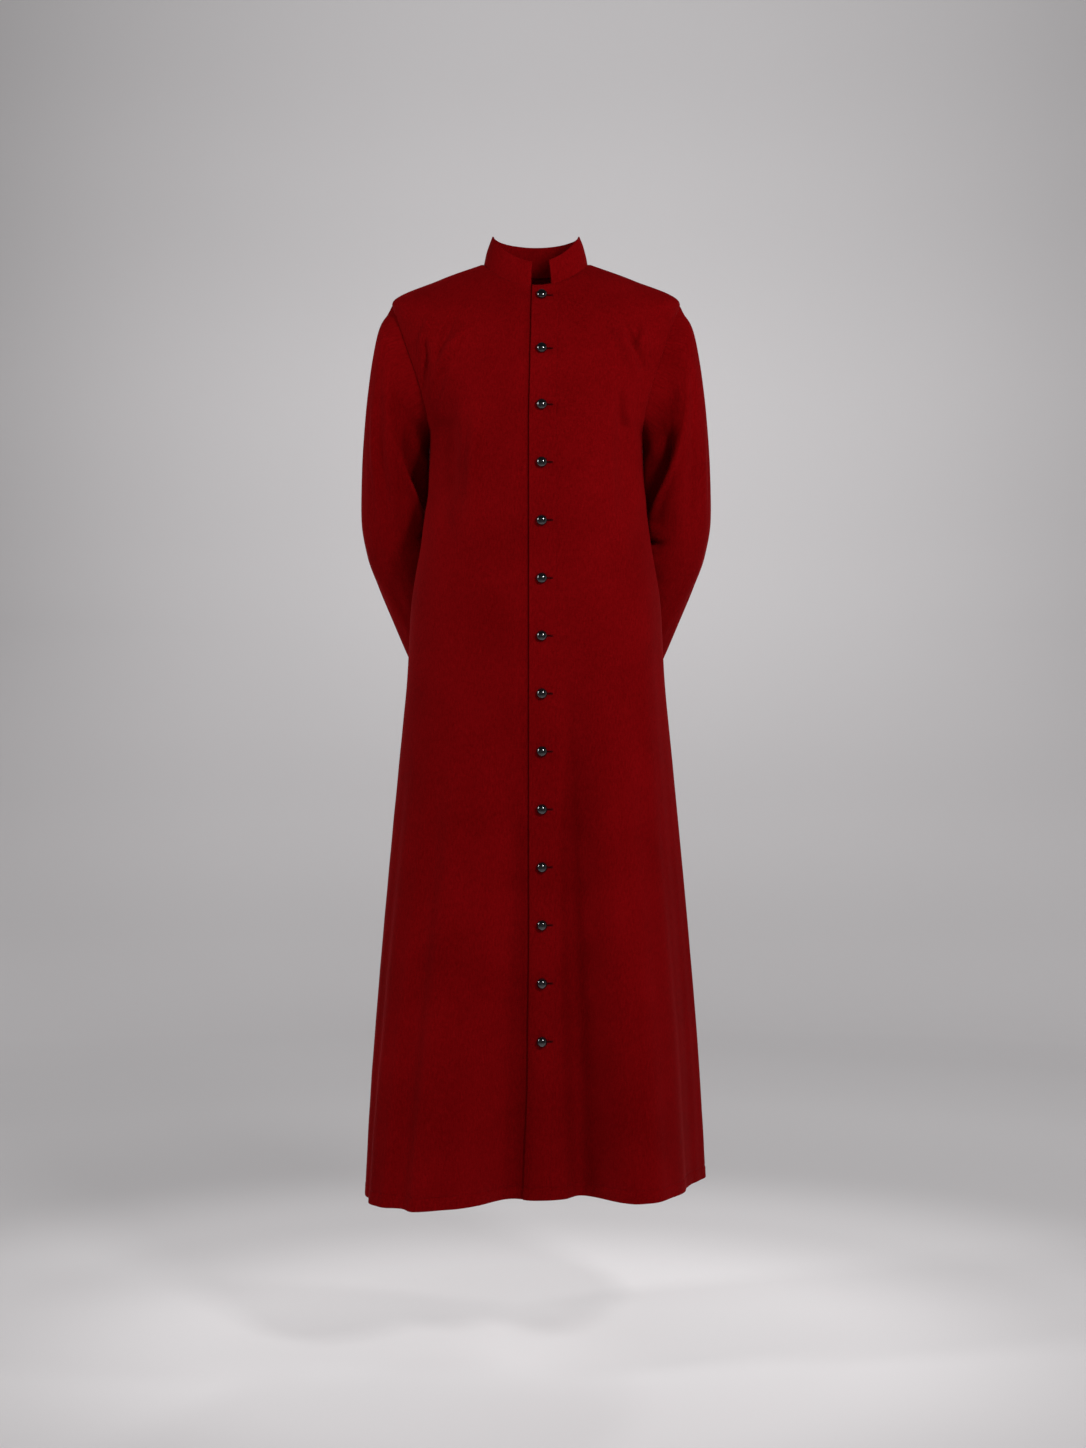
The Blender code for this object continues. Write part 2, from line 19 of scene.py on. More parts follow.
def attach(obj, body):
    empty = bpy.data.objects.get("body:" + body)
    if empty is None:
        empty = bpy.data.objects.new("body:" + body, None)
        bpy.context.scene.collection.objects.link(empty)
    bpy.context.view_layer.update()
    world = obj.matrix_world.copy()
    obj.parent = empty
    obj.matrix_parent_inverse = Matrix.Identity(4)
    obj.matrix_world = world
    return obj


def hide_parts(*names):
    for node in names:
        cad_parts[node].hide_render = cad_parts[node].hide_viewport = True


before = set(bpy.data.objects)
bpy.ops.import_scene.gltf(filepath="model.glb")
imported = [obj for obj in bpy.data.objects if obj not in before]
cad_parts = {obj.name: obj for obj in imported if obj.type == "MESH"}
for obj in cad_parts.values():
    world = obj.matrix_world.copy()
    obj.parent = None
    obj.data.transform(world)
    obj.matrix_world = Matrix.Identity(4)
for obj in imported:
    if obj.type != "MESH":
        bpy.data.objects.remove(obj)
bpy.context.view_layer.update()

# %% [markdown]
# ## The camera
#
# The photograph was taken level, from a few steps away, at the height of the hips. Everything is judged
# through this camera, so it comes before any cloth. The long side of the picture is its height, and that is
# the side Blender's sensor size is measured along.

# %% Place the camera
CAMERA_AT = Vector((0.0104, -3.3, -0.681))
CAMERA_LENS = 55.4
CAMERA_SENSOR = 36.0

camera_data = bpy.data.cameras.new("camera")
camera_data.lens = CAMERA_LENS
camera_data.sensor_width = CAMERA_SENSOR
camera = bpy.data.objects.new("camera", camera_data)
camera.location = CAMERA_AT
camera.rotation_euler = (math.radians(90), 0.0, 0.0)
bpy.context.scene.collection.objects.link(camera)
bpy.context.scene.camera = camera
bpy.context.scene.view_settings.view_transform = "Standard"
print("camera at", tuple(camera.location))

# %% [markdown]
# ## Shader maths as Python
#
# Node trees are hard to read as a list of links. This small class wraps one socket of a node, so that a
# pattern is written as a sum. A Math node turns a colour grey, so colours are mixed by a Mix node instead.

# %% A socket that can be added and multiplied
class Wire:
    """One output of a node, or a plain number, that Python's operators work on."""

    def __init__(self, tree, socket):
        self.tree, self.socket = tree, socket

    def maths(self, operation, *others):
        """Adds a Math node that works on this socket and on others, or on plain numbers."""
        node = self.tree.nodes.new("ShaderNodeMath")
        node.operation = operation
        for slot, value in zip(node.inputs, (self, *others)):
            plug(self.tree, slot, value)
        return Wire(self.tree, node.outputs[0])

    def __add__(self, other):
        return self.maths("ADD", other)

    def __sub__(self, other):
        return self.maths("SUBTRACT", other)

    def __mul__(self, other):
        return self.maths("MULTIPLY", other)

    def __truediv__(self, other):
        return self.maths("DIVIDE", other)

    def __rsub__(self, other):
        return self.maths("MULTIPLY", -1.0).maths("ADD", other)

    def __rtruediv__(self, other):
        return self.maths("POWER", -1.0).maths("MULTIPLY", other)

    __radd__, __rmul__ = __add__, __mul__


def plug(tree, slot, value):
    """Links a wire to a node's input, or writes a plain value there."""
    if isinstance(value, Wire):
        tree.links.new(value.socket, slot)
    else:
        slot.default_value = value


class Finish:
    """A material that is built node by node, round its Principled shader."""

    def __init__(self, name):
        self.material = bpy.data.materials.new(name)
        self.material.use_nodes = True
        self.tree = self.material.node_tree
        self.shader = self.tree.nodes["Principled BSDF"]

    def node(self, kind, settings=None, output=0, **sockets):
        """Adds a node. Settings are set first, and a socket's name may have _ for each space."""
        node = self.tree.nodes.new(kind)
        for key, value in (settings or {}).items():
            if key == "stops":
                self.place_stops(node.color_ramp, value)
            else:
                setattr(node, key, value)
        for key, value in sockets.items():
            slots = [slot for slot in node.inputs if slot.name == key.replace("_", " ") and slot.enabled]
            plug(self.tree, slots[0], value)
        outputs = [slot for slot in node.outputs if slot.enabled]
        return Wire(self.tree, outputs[output])

    def place_stops(self, ramp, stops):
        """Gives a colour ramp its stops, each a place from 0 to 1 and a colour."""
        ramp.interpolation = "EASE"
        while len(ramp.elements) < len(stops):
            ramp.elements.new(1.0)
        for element, (place, colour) in zip(ramp.elements, stops):
            element.position, element.color = place, colour

    def mix(self, share, low, high):
        """One colour where share is 0 and the other where it is 1."""
        return self.node("ShaderNodeMix", {"data_type": "RGBA"}, Factor=share, A=low, B=high)

    def set(self, **sockets):
        """Writes or links the shader's own sockets."""
        for key, value in sockets.items():
            plug(self.tree, self.shader.inputs[key.replace("_", " ")], value)


print("shader helpers ready")

# %% [markdown]
# ## The red cloth
#
# The cloth is a fine, dense twill in a deep red. It is dull, but its short nap catches light where it
# turns away, so its edges look a little brighter: that is what a sheen lobe is for. The twill's slanting
# ribs are under a millimetre apart. They follow the cut of each piece, so they are drawn in its own UV map,
# which is in metres of cloth. Slow patches of lighter and darker dye keep a large panel from looking flat.

# %% Weave the twill
RIB_PITCH = 0.00085
RIB_SLANT = 0.55
CLOTH_LIT = (0.205, 0.0020, 0.0032, 1.0)
CLOTH_DIM = (0.118, 0.0006, 0.0012, 1.0)
CLOTH_SHINE = (1.0, 0.035, 0.04, 1.0)
RIB_DEPTH = 0.00012
SLUB_TURN, SLUB_SCALE = 0.62, (520.0, 110.0, 1.0)
DYE_SHARE, NAP_SHARE, SLUB_SHARE, RIB_SHARE, SHADE_LEVEL = 1.10, 1.40, 1.10, 0.12, 1.36


def weave_cloth(name, lit, dim, rib_depth):
    """Twill: slanting ribs and picks from the cloth's own map, and slow dye and fine nap from the object."""
    cloth = Finish(name)
    uv = cloth.node("ShaderNodeUVMap", {"uv_map": "cloth"})
    place = cloth.node("ShaderNodeTexCoord", output=3)
    along = cloth.node("ShaderNodeSeparateXYZ", Vector=uv)
    across = Wire(cloth.tree, along.socket.node.outputs[0])
    down = Wire(cloth.tree, along.socket.node.outputs[1])
    ribs = ((across + down * RIB_SLANT) * (2 * math.pi / RIB_PITCH)).maths("SINE") * 0.5 + 0.5
    picks = (down * (2 * math.pi / (1.7 * RIB_PITCH))).maths("SINE") * 0.5 + 0.5
    slubs = cloth.node(
        "ShaderNodeTexNoise", {"noise_dimensions": "3D"},
        Vector=cloth.node("ShaderNodeMapping", Vector=uv, Rotation=(0.0, 0.0, SLUB_TURN), Scale=SLUB_SCALE),
        Scale=1.0, Detail=1.0,
    )
    dye = cloth.node("ShaderNodeTexNoise", Vector=place, Scale=9.0, Detail=4.0, Roughness=0.55)
    nap = cloth.node("ShaderNodeTexNoise", Vector=place, Scale=380.0, Detail=2.0, Roughness=0.6)
    shade = dye * DYE_SHARE + nap * NAP_SHARE + slubs * SLUB_SHARE + ribs * RIB_SHARE - SHADE_LEVEL
    cloth.set(
        Base_Color=cloth.mix(shade.maths("MINIMUM", 1.0).maths("MAXIMUM", 0.0), dim, lit),
        Roughness=0.78 + dye * 0.14,
        Specular_IOR_Level=0.03,
        Specular_Tint=CLOTH_SHINE,
        Sheen_Weight=0.14,
        Sheen_Roughness=0.35,
        Sheen_Tint=CLOTH_SHINE,
    )
    relief = ribs * 0.6 + picks * 0.15 + nap * 0.5 + slubs * 0.3
    bump = cloth.node("ShaderNodeBump", Strength=0.35, Distance=rib_depth, Height=relief)
    cloth.set(Normal=bump)
    return cloth.material


red_cloth = weave_cloth("red_twill", CLOTH_LIT, CLOTH_DIM, RIB_DEPTH)
print("cloth rib pitch, mm:", RIB_PITCH * 1000)

# %% [markdown]
# ## Thread, buttonhole and button finishes
#
# The sewing thread is the cloth's red, a little deeper, with the shine of twisted polyester. The buttons
# are cast black plastic. A clear coat gives their sharp window lights, and fine rubbing marks soften them.

# %% Mix the thread and the button plastic
THREAD_COLOUR = (0.085, 0.0016, 0.0030, 1.0)
# Painted shade: the near black of a buttonhole's slit stands in for the shadow in the gap.
SLIT_SHADE_COLOUR = (0.010, 0.0008, 0.0010, 1.0)
BUTTON_COLOUR = (0.0022, 0.0022, 0.0026, 1.0)


def twist_thread(name, colour):
    """Sewing thread, whose twist is a fine noise."""
    thread = Finish(name)
    place = thread.node("ShaderNodeTexCoord", output=3)
    twist = thread.node("ShaderNodeTexNoise", Vector=place, Scale=1400.0, Detail=1.0)
    darker = tuple(0.6 * c for c in colour[:3]) + (1.0,)
    thread.set(
        Base_Color=thread.mix(twist, darker, colour),
        Roughness=0.55 + twist * 0.15,
        Specular_IOR_Level=0.25,
        Specular_Tint=CLOTH_SHINE,
    )
    thread.set(Normal=thread.node("ShaderNodeBump", Strength=0.5, Distance=0.0002, Height=twist))
    return thread.material


def cast_button(name, colour):
    """Polished plastic under a clear coat."""
    button = Finish(name)
    place = button.node("ShaderNodeTexCoord", output=3)
    rubbed = button.node("ShaderNodeTexNoise", Vector=place, Scale=260.0, Detail=3.0)
    grey = tuple(2.2 * c for c in colour[:3]) + (1.0,)
    button.set(
        Base_Color=button.mix(rubbed, colour, grey),
        Roughness=0.03 + rubbed * 0.05,
        Coat_Weight=1.0,
        Coat_Roughness=0.02,
        IOR=1.55,
    )
    button.set(Normal=button.node("ShaderNodeBump", Strength=0.01, Distance=0.0001, Height=rubbed))
    return button.material


red_thread = twist_thread("red_thread", THREAD_COLOUR)
painted_slit_shade = twist_thread("buttonhole_painted_shade", SLIT_SHADE_COLOUR)
black_plastic = cast_button("black_plastic", BUTTON_COLOUR)
print("finishes:", [m.name for m in (red_cloth, red_thread, painted_slit_shade, black_plastic)])

# %% [markdown]
# ## The form of the body
#
# A coat on a body is a stack of level sections. Each row of this table is one, from the neckline to the
# hem: where its seam is, how far the front and the back stand out, and how square its corners are. A
# smooth curve is drawn through the rows, so the cloth can be sampled as finely as a close look needs. These
# are the CAD part's own numbers, repeated here because this file can't read that one.

# %% The body's sections
Section = namedtuple(
    "Section",
    "name side_x side_y_front side_y_back side_z front_y front_z back_y back_z wrap square",
)
SECTIONS = [
    Section("neckline", 0.077, 0.000, 0.000, 0.000, -0.077, -0.045, 0.070, -0.006, 90, 2.0),
    Section("mid shoulder", 0.144, 0.000, 0.000, -0.0245, -0.092, -0.072, 0.090, -0.034, 90, 2.0),
    Section("shoulder tip", 0.213, 0.000, 0.000, -0.060, -0.106, -0.104, 0.110, -0.070, 90, 2.0),
    Section("upper armhole", 0.204, -0.031, 0.038, -0.088, -0.115, -0.130, 0.119, -0.104, 80, 2.0),
    Section("armhole", 0.190, -0.052, 0.062, -0.130, -0.124, -0.163, 0.126, -0.144, 66, 2.1),
    Section("lower armhole", 0.173, -0.059, 0.070, -0.180, -0.132, -0.204, 0.129, -0.190, 62, 2.2),
    Section("armhole foot", 0.160, -0.040, 0.052, -0.232, -0.136, -0.245, 0.128, -0.238, 72, 2.3),
    Section("armpit", 0.157, 0.012, 0.012, -0.262, -0.138, -0.275, 0.126, -0.270, 90, 2.4),
    Section("chest", 0.160, 0.012, 0.012, -0.330, -0.137, -0.335, 0.120, -0.332, 90, 2.4),
    Section("waist", 0.170, 0.012, 0.012, -0.410, -0.134, -0.412, 0.114, -0.410, 90, 2.3),
    Section("hip", 0.185, 0.012, 0.012, -0.505, -0.133, -0.505, 0.114, -0.505, 90, 2.2),
    Section("seat", 0.191, 0.012, 0.012, -0.610, -0.135, -0.610, 0.124, -0.610, 90, 2.1),
    Section("thigh", 0.203, 0.012, 0.012, -0.735, -0.137, -0.735, 0.138, -0.735, 90, 2.1),
    Section("above knee", 0.216, 0.012, 0.012, -0.870, -0.139, -0.870, 0.152, -0.870, 90, 2.0),
    Section("knee", 0.229, 0.012, 0.012, -1.010, -0.142, -1.010, 0.166, -1.010, 90, 2.0),
    Section("calf", 0.242, 0.012, 0.012, -1.170, -0.147, -1.170, 0.181, -1.170, 90, 2.0),
    Section("hem", 0.253, 0.012, 0.012, -1.355, -0.151, -1.355, 0.197, -1.355, 90, 2.0),
]
SHOULDER_TIP, ARMPIT = 2, 7
HEM_Z = SECTIONS[-1].side_z
TABLE = np.array([row[1:] for row in SECTIONS], float)
FIELDS = Section._fields[1:]
print("sections:", len(SECTIONS))

# %% [markdown]
# ## Smooth curves through the sections
#
# A plain spline overshoots where two rows are alike, and cloth would ripple there. This one takes its
# slope from the rows on both sides and never passes beyond them.

# %% Curves, eases and bells
def ease(x):
    """0 below 0, 1 above 1 and smooth between."""
    x = np.clip(x, 0.0, 1.0)
    return x * x * (3.0 - 2.0 * x)


def bell(x):
    """1 at 0, falling to 0 at -1 and 1."""
    return np.cos(0.5 * math.pi * np.clip(x, -1.0, 1.0)) ** 2


def unit(v):
    return v / np.maximum(np.linalg.norm(v, axis=-1, keepdims=True), 1e-12)


def distances(points):
    """How far along a line each of its points is."""
    return np.concatenate([[0.0], np.cumsum(np.linalg.norm(np.diff(points, axis=0), axis=1))])


def read_along(at, along, line):
    """A line's points, or its directions, at some distances along it."""
    return np.stack([np.interp(at, along, line[:, k]) for k in range(3)], axis=-1)


def smooth_through(knots, values, at):
    """values at the knots, joined by cubics that never pass beyond two neighbouring values."""
    step = np.diff(knots)
    rise = np.diff(values, axis=0) / step[:, None]
    slope = np.zeros_like(values)
    slope[0], slope[-1] = rise[0], rise[-1]
    before, after = rise[:-1], rise[1:]
    same_way = before * after > 0
    weight_a = (2 * step[1:] + step[:-1])[:, None]
    weight_b = (step[1:] + 2 * step[:-1])[:, None]
    safe_before = np.where(same_way, before, 1.0)
    safe_after = np.where(same_way, after, 1.0)
    mean = (weight_a + weight_b) / (weight_a / safe_before + weight_b / safe_after)
    slope[1:-1] = np.where(same_way, mean, 0.0)
    at = np.atleast_1d(at)
    i = np.clip(np.searchsorted(knots, at) - 1, 0, len(step) - 1)
    h = step[i][:, None]
    s = (at[:, None] - knots[i][:, None]) / h
    return (
        values[i] * (1 + 2 * s) * (1 - s) ** 2
        + slope[i] * h * s * (1 - s) ** 2
        + values[i + 1] * s * s * (3 - 2 * s)
        + slope[i + 1] * h * s * s * (s - 1)
    )


front_line = TABLE[:, [FIELDS.index("front_y"), FIELDS.index("front_z")]]
side_line = TABLE[:, [FIELDS.index("side_x"), FIELDS.index("side_y_front"), FIELDS.index("side_z")]]
LEVEL_KNOTS = (distances(front_line) + distances(side_line)) / 2
print("length from neckline to hem, m:", round(float(LEVEL_KNOTS[-1]), 3))

# %% [markdown]
# ## The large folds of the skirt
#
# The forward knee pushes the cloth out, the other one less, and the back falls in a few wide flutes. Each
# row is one fold: where it is round the body, which way it is pushed, how wide it is and where it begins.
# The rows after the first ten are softer ones that the CAD part leaves out. They carry the broad light and
# dark bands that the photograph shows beside the buttons.

# %% The fold table
Fold = namedtuple("Fold", "name angle lean heading half_width top_z depth growth")
FOLDS = [
    Fold("right knee", -40, 6, -12, 38, -0.560, 0.110, 1.25),
    Fold("right side", -84, 4, 4, 46, -0.600, 0.110, 1.30),
    Fold("left knee", 38, -4, 10, 23, -0.520, 0.052, 1.15),
    Fold("hollow beside the buttons", 14, -6, 14, 12, -0.400, -0.010, 0.9),
    Fold("left side hollow", 72, 2, 60, 18, -0.300, -0.012, 0.8),
    Fold("back left flute", 128, 0, 140, 22, -0.480, 0.030, 1.2),
    Fold("back middle flute", 178, 4, 180, 24, -0.420, 0.034, 1.2),
    Fold("back right flute", -131, 0, -140, 22, -0.520, 0.028, 1.2),
    Fold("back left hollow", 153, 2, 160, 14, -0.500, -0.014, 1.1),
    Fold("back right hollow", -156, -2, -160, 14, -0.460, -0.014, 1.1),
    Fold("shade beside the buttons", 18, -4, 20, 9, -0.480, -0.0230, 0.8),
    Fold("shade beside the lap", -9, 2, -9, 8, -0.660, -0.0190, 0.8),
    Fold("light band left", 29, -4, 28, 8, -0.430, 0.0090, 0.6),
    Fold("light band right", -20, 4, -20, 9, -0.520, 0.0100, 0.8),
    Fold("shade low right", -44, 4, -42, 9, -0.620, -0.0160, 0.8),
    Fold("outer left flute", 54, -3, 50, 9, -0.420, 0.0070, 0.8),
    Fold("outer right flute", -62, 4, -60, 11, -0.600, 0.0080, 0.8),
    Fold("side ripple left", 84, 0, 84, 9, -0.500, -0.0040, 0.8),
    Fold("back small flute", 108, 0, 110, 9, -0.420, 0.0040, 0.8),
    Fold("back small hollow", -112, 0, -112, 10, -0.380, -0.0045, 0.8),
]


def fold_push(angle, z):
    """How far the folds move the cloth, at an angle round the body in degrees."""
    x, y = np.zeros_like(angle), np.zeros_like(angle)
    for fold in FOLDS:
        grown = np.clip((fold.top_z - z) / (fold.top_z - HEM_Z), 0.0, 1.0)
        centre = fold.angle + fold.lean * (1.0 - grown)
        away = (angle - centre + 180.0) % 360.0 - 180.0
        push = fold.depth * grown**fold.growth * ease(3 * grown) * bell(away / fold.half_width)
        heading = math.radians(fold.heading)
        x += push * math.sin(heading)
        y -= push * math.cos(heading)
    return x, y


print("folds:", len(FOLDS))

# %% [markdown]
# ## A point of the cloth
#
# Two numbers find any point: the level, in metres down from the neckline, and the angle round the body.
# The formula is a superellipse, an ellipse whose corners can be made squarer, cut off at the armhole.

# %% The body's surface
def body_points(level, angle):
    """The outer face of the body. level has a value for each row, and angle rows and columns in degrees."""
    angle = (angle + 180.0) % 360.0 - 180.0
    rows = smooth_through(LEVEL_KNOTS, TABLE, level)
    row = Section("", *[rows[:, i : i + 1] for i in range(rows.shape[1])])
    front = np.abs(angle) <= 90.0
    turned = np.radians(np.where(front, np.abs(angle), 180.0 - np.abs(angle)))
    share = turned / (0.5 * math.pi)
    wrap = np.radians(row.wrap)
    power = 2.0 / row.square
    end_sin, end_cos = np.sin(wrap), np.maximum(np.cos(wrap), 0.0)
    across = np.clip(np.sin(share * wrap) / end_sin, 0.0, 1.0) ** power
    inward = (1 - np.clip(np.cos(share * wrap), 0.0, 1.0) ** power) / (1 - end_cos**power)
    rise = 1 - np.clip(np.cos(turned), 0.0, 1.0) ** 1.5
    centre_y = np.where(front, row.front_y, row.back_y)
    centre_z = np.where(front, row.front_z, row.back_z)
    side_y = np.where(front, row.side_y_front, row.side_y_back)
    x = np.sign(angle) * row.side_x * across
    y = centre_y + (side_y - centre_y) * inward
    z = centre_z + (row.side_z - centre_z) * rise
    push_x, push_y = fold_push(angle, z)
    return np.stack([x + push_x, y + push_y, z], axis=-1)


neck_ring = body_points(np.array([0.0]), np.linspace(-180, 180, 181)[None])[0]
print("neckline all round, m:", round(float(distances(neck_ring)[-1]), 3))

# %% [markdown]
# ## Rows and columns
#
# A panel is a grid. Its rows and columns are 3 to 6 mm apart, closest on the chest, where the creases are
# small, and crowd together at seams and edges, where the cloth turns over within a millimetre or two.

# %% Where the rows and columns go
ROW_PITCH = 0.0060
CHEST_ROW_PITCH = 0.0032
COLUMN_PITCH = 0.0050
BACK_COLUMN_PITCH = 0.0060
EDGE_STEPS = (0.00012, 0.00035, 0.0008, 0.0016, 0.0032)
SEAM_STEPS = (0.0007, 0.0016, 0.0030)
HEM_DEPTH = 0.018
HEM_STEPS = EDGE_STEPS + (0.006, 0.010, 0.0135, 0.0155, 0.0168, HEM_DEPTH, 0.0192, 0.0206, 0.023)
SEAM_GAP = 0.00005
RULER_POINTS = 241


def spread(first, last, count, start_steps=(), end_steps=()):
    """Places from first to last: steps after the start, steps before the end, and count even ones."""
    start = first + np.concatenate([[0.0], start_steps])
    end = last - np.concatenate([[0.0], end_steps])[::-1]
    even = np.linspace(start[-1], end[0], count + 2)[1:-1]
    return np.concatenate([start, even, end])


TIP_LEVEL, PIT_LEVEL, HEM_LEVEL = (float(LEVEL_KNOTS[i]) for i in (SHOULDER_TIP, ARMPIT, -1))
ROW_LEVELS = np.concatenate([
    spread(0.0, TIP_LEVEL, round(TIP_LEVEL / ROW_PITCH), SEAM_STEPS)[:-1],
    spread(TIP_LEVEL, PIT_LEVEL, round((PIT_LEVEL - TIP_LEVEL) / CHEST_ROW_PITCH))[:-1],
    spread(PIT_LEVEL, HEM_LEVEL, round((HEM_LEVEL - PIT_LEVEL) / ROW_PITCH), (), HEM_STEPS),
])
FROM_NECK = ROW_LEVELS[:, None]
FROM_HEM = (HEM_LEVEL - ROW_LEVELS)[:, None]
print("rows:", len(ROW_LEVELS))

# %% [markdown]
# ## The closing
#
# The left front laps over the right. Its edge runs straight down beside the buttons and swings a little
# near the hem. The right front is let in under it by the thickness of the cloth.

# %% The lap and its edge
CENTRE_FRONT_X = 0.0085
UNDERLAP_PAST_BUTTONS = 0.018
LAP_STEP_WIDTH = 0.022
LAP_GAP = 0.0007
CLOTH = 0.0015
LapEdge = namedtuple("LapEdge", "z x")
LAP_EDGES = [
    LapEdge(-1.355, -0.0180),
    LapEdge(-1.200, -0.0120),
    LapEdge(-1.020, -0.0095),
    LapEdge(-0.240, -0.0095),
    LapEdge(-0.040, -0.0055),
]


def lap_edge_x(z):
    """Where the left front's free edge is, at a height."""
    return np.interp(z, [edge.z for edge in LAP_EDGES], [edge.x for edge in LAP_EDGES])


def panel_grid(start_x, start_angle, end_angle, start_steps, pitch=COLUMN_PITCH):
    """The points of a panel, and how far each is from its first edge and its last seam. start_x gives the
    first edge's place at a height, or is None for a seam."""
    ruler = np.linspace(start_angle, end_angle, RULER_POINTS)
    lines = body_points(ROW_LEVELS, np.broadcast_to(ruler, (len(ROW_LEVELS), RULER_POINTS)))
    angles, from_start, from_end = [], [], []
    longest = max(distances(line)[-1] for line in lines)
    count = round(longest / pitch)
    for line in lines:
        along = distances(line)
        first = SEAM_GAP / 2
        if start_x is not None:
            order = np.argsort(line[:, 0])
            first = np.interp(start_x(line[0, 2]), line[order, 0], along[order])
        last = along[-1] - SEAM_GAP / 2
        places = spread(first, last, count, start_steps, SEAM_STEPS)
        angles.append(np.interp(places, along, ruler))
        from_start.append(places - first)
        from_end.append(last - places)
    points = body_points(ROW_LEVELS, np.array(angles))
    return points, np.array(from_start), np.array(from_end)


def grid_normals(points, outward):
    """The directions out of a grid. outward is any field of vectors that points roughly out."""
    across = np.gradient(points, axis=1)
    down = np.gradient(points, axis=0)
    normals = unit(np.cross(down, across))
    return normals if np.sum(normals * outward) > 0 else -normals


print("lap edge at the hem, mm:", 1000 * float(lap_edge_x(HEM_Z)))

# %% [markdown]
# ## Creases
#
# Worn cloth is never quite smooth. Soft folds run from the armholes across the chest, where the arms are
# drawn back, and shallow ones fan out below the shoulder blades. Each row of the table is one stroke, as
# seen from the front or the back: its two ends, how much it bows, its half width, and its depth, which is a
# ridge if positive and a trough if negative.

# %% The creases of the body
Crease = namedtuple("Crease", "name side x1 z1 x2 z2 bow half_width depth")
CREASES = [
    Crease("outer arch ridge", "front", -0.158, -0.096, -0.167, -0.156, 0.002, 0.0085, 0.0043),
    Crease("inner arch ridge", "front", -0.157, -0.096, -0.150, -0.150, 0.001, 0.0085, 0.0041),
    Crease("arch trough", "front", -0.158, -0.118, -0.159, -0.178, 0.000, 0.0070, -0.0038),
    Crease("chest trough", "front", -0.114, -0.088, -0.150, -0.168, 0.003, 0.0120, -0.0067),
    Crease("short chest ridge", "front", -0.136, -0.120, -0.154, -0.176, 0.002, 0.0090, 0.0043),
    Crease("broad chest ridge", "front", -0.096, -0.106, -0.148, -0.192, 0.004, 0.0170, 0.0075),
    Crease("armhole shade", "front", -0.156, -0.146, -0.163, -0.210, 0.002, 0.0090, -0.0049),
    Crease("chest drag", "front", -0.118, -0.148, -0.150, -0.226, 0.004, 0.0130, -0.0043),
    Crease("side hollow", "front", -0.126, -0.222, -0.134, -0.400, 0.002, 0.0320, -0.0155),
    Crease("side light", "front", -0.086, -0.226, -0.094, -0.420, 0.000, 0.0190, 0.0072),
    Crease("low side drag", "front", -0.160, -0.330, -0.116, -0.460, -0.006, 0.0240, -0.0035),
    Crease("outer arch ridge", "front", 0.154, -0.104, 0.162, -0.152, -0.002, 0.0085, 0.0041),
    Crease("inner arch ridge", "front", 0.153, -0.104, 0.146, -0.148, -0.002, 0.0085, 0.0043),
    Crease("chest trough", "front", 0.126, -0.104, 0.164, -0.192, -0.003, 0.0100, -0.0061),
    Crease("broad chest ridge", "front", 0.100, -0.084, 0.150, -0.196, -0.004, 0.0150, 0.0067),
    Crease("hook ridge", "front", 0.158, -0.178, 0.171, -0.214, -0.002, 0.0080, 0.0046),
    Crease("hook return", "front", 0.160, -0.180, 0.154, -0.232, -0.001, 0.0080, 0.0041),
    Crease("chest drag", "front", 0.118, -0.190, 0.142, -0.300, 0.002, 0.0130, -0.0043),
    Crease("side light", "front", 0.131, -0.210, 0.148, -0.300, 0.002, 0.0120, 0.0052),
    Crease("side hollow", "front", 0.124, -0.220, 0.136, -0.430, -0.002, 0.0280, -0.0108),
    Crease("low side drag", "front", 0.160, -0.340, 0.118, -0.462, 0.008, 0.0240, 0.0035),
    Crease("collar ripple right", "front", -0.030, -0.062, -0.052, -0.094, 0.002, 0.010, 0.0010),
    Crease("collar ripple left", "front", 0.036, -0.060, 0.060, -0.096, -0.002, 0.010, 0.0010),
    Crease("blade ridge left", "back", 0.160, -0.150, 0.066, -0.236, 0.014, 0.020, 0.0030),
    Crease("blade trough left", "back", 0.156, -0.196, 0.050, -0.300, 0.012, 0.022, -0.0030),
    Crease("blade ridge right", "back", -0.162, -0.140, -0.070, -0.226, -0.012, 0.022, 0.0028),
    Crease("blade trough right", "back", -0.158, -0.186, -0.046, -0.282, -0.014, 0.020, -0.0030),
    Crease("nape fold", "back", -0.060, -0.060, 0.064, -0.062, -0.006, 0.016, -0.0016),
    Crease("spine hollow", "back", 0.004, -0.120, -0.004, -0.470, 0.004, 0.044, -0.0034),
    Crease("waist roll left", "back", 0.030, -0.470, 0.150, -0.500, 0.012, 0.024, 0.0026),
    Crease("waist roll right", "back", -0.024, -0.486, -0.152, -0.520, -0.012, 0.024, 0.0024),
]


def along_stroke(u, v, first_end, last_end):
    """How far along a stroke each point is, from 0 to 1, and how far it is to the stroke's side."""
    start = np.array(first_end)
    line = np.array(last_end) - start
    length = np.linalg.norm(line)
    line = line / length
    share = ((u - start[0]) * line[0] + (v - start[1]) * line[1]) / length
    return share, (u - start[0]) * line[1] - (v - start[1]) * line[0]


def crease_push(points, side):
    """How far the creases move each point out. They are drawn on the upright plane that faces the front."""
    x, z = points[..., 0], points[..., 2]
    push = np.zeros(x.shape)
    for crease in CREASES:
        if crease.side != side:
            continue
        share, aside = along_stroke(x, z, (crease.x1, crease.z1), (crease.x2, crease.z2))
        aside = aside - crease.bow * (1 - (2 * share - 1) ** 2)
        width = crease.half_width * (0.75 + 0.35 * share)
        push += crease.depth * bell(aside / width) * bell((share - 0.45) / 0.62)
    return push


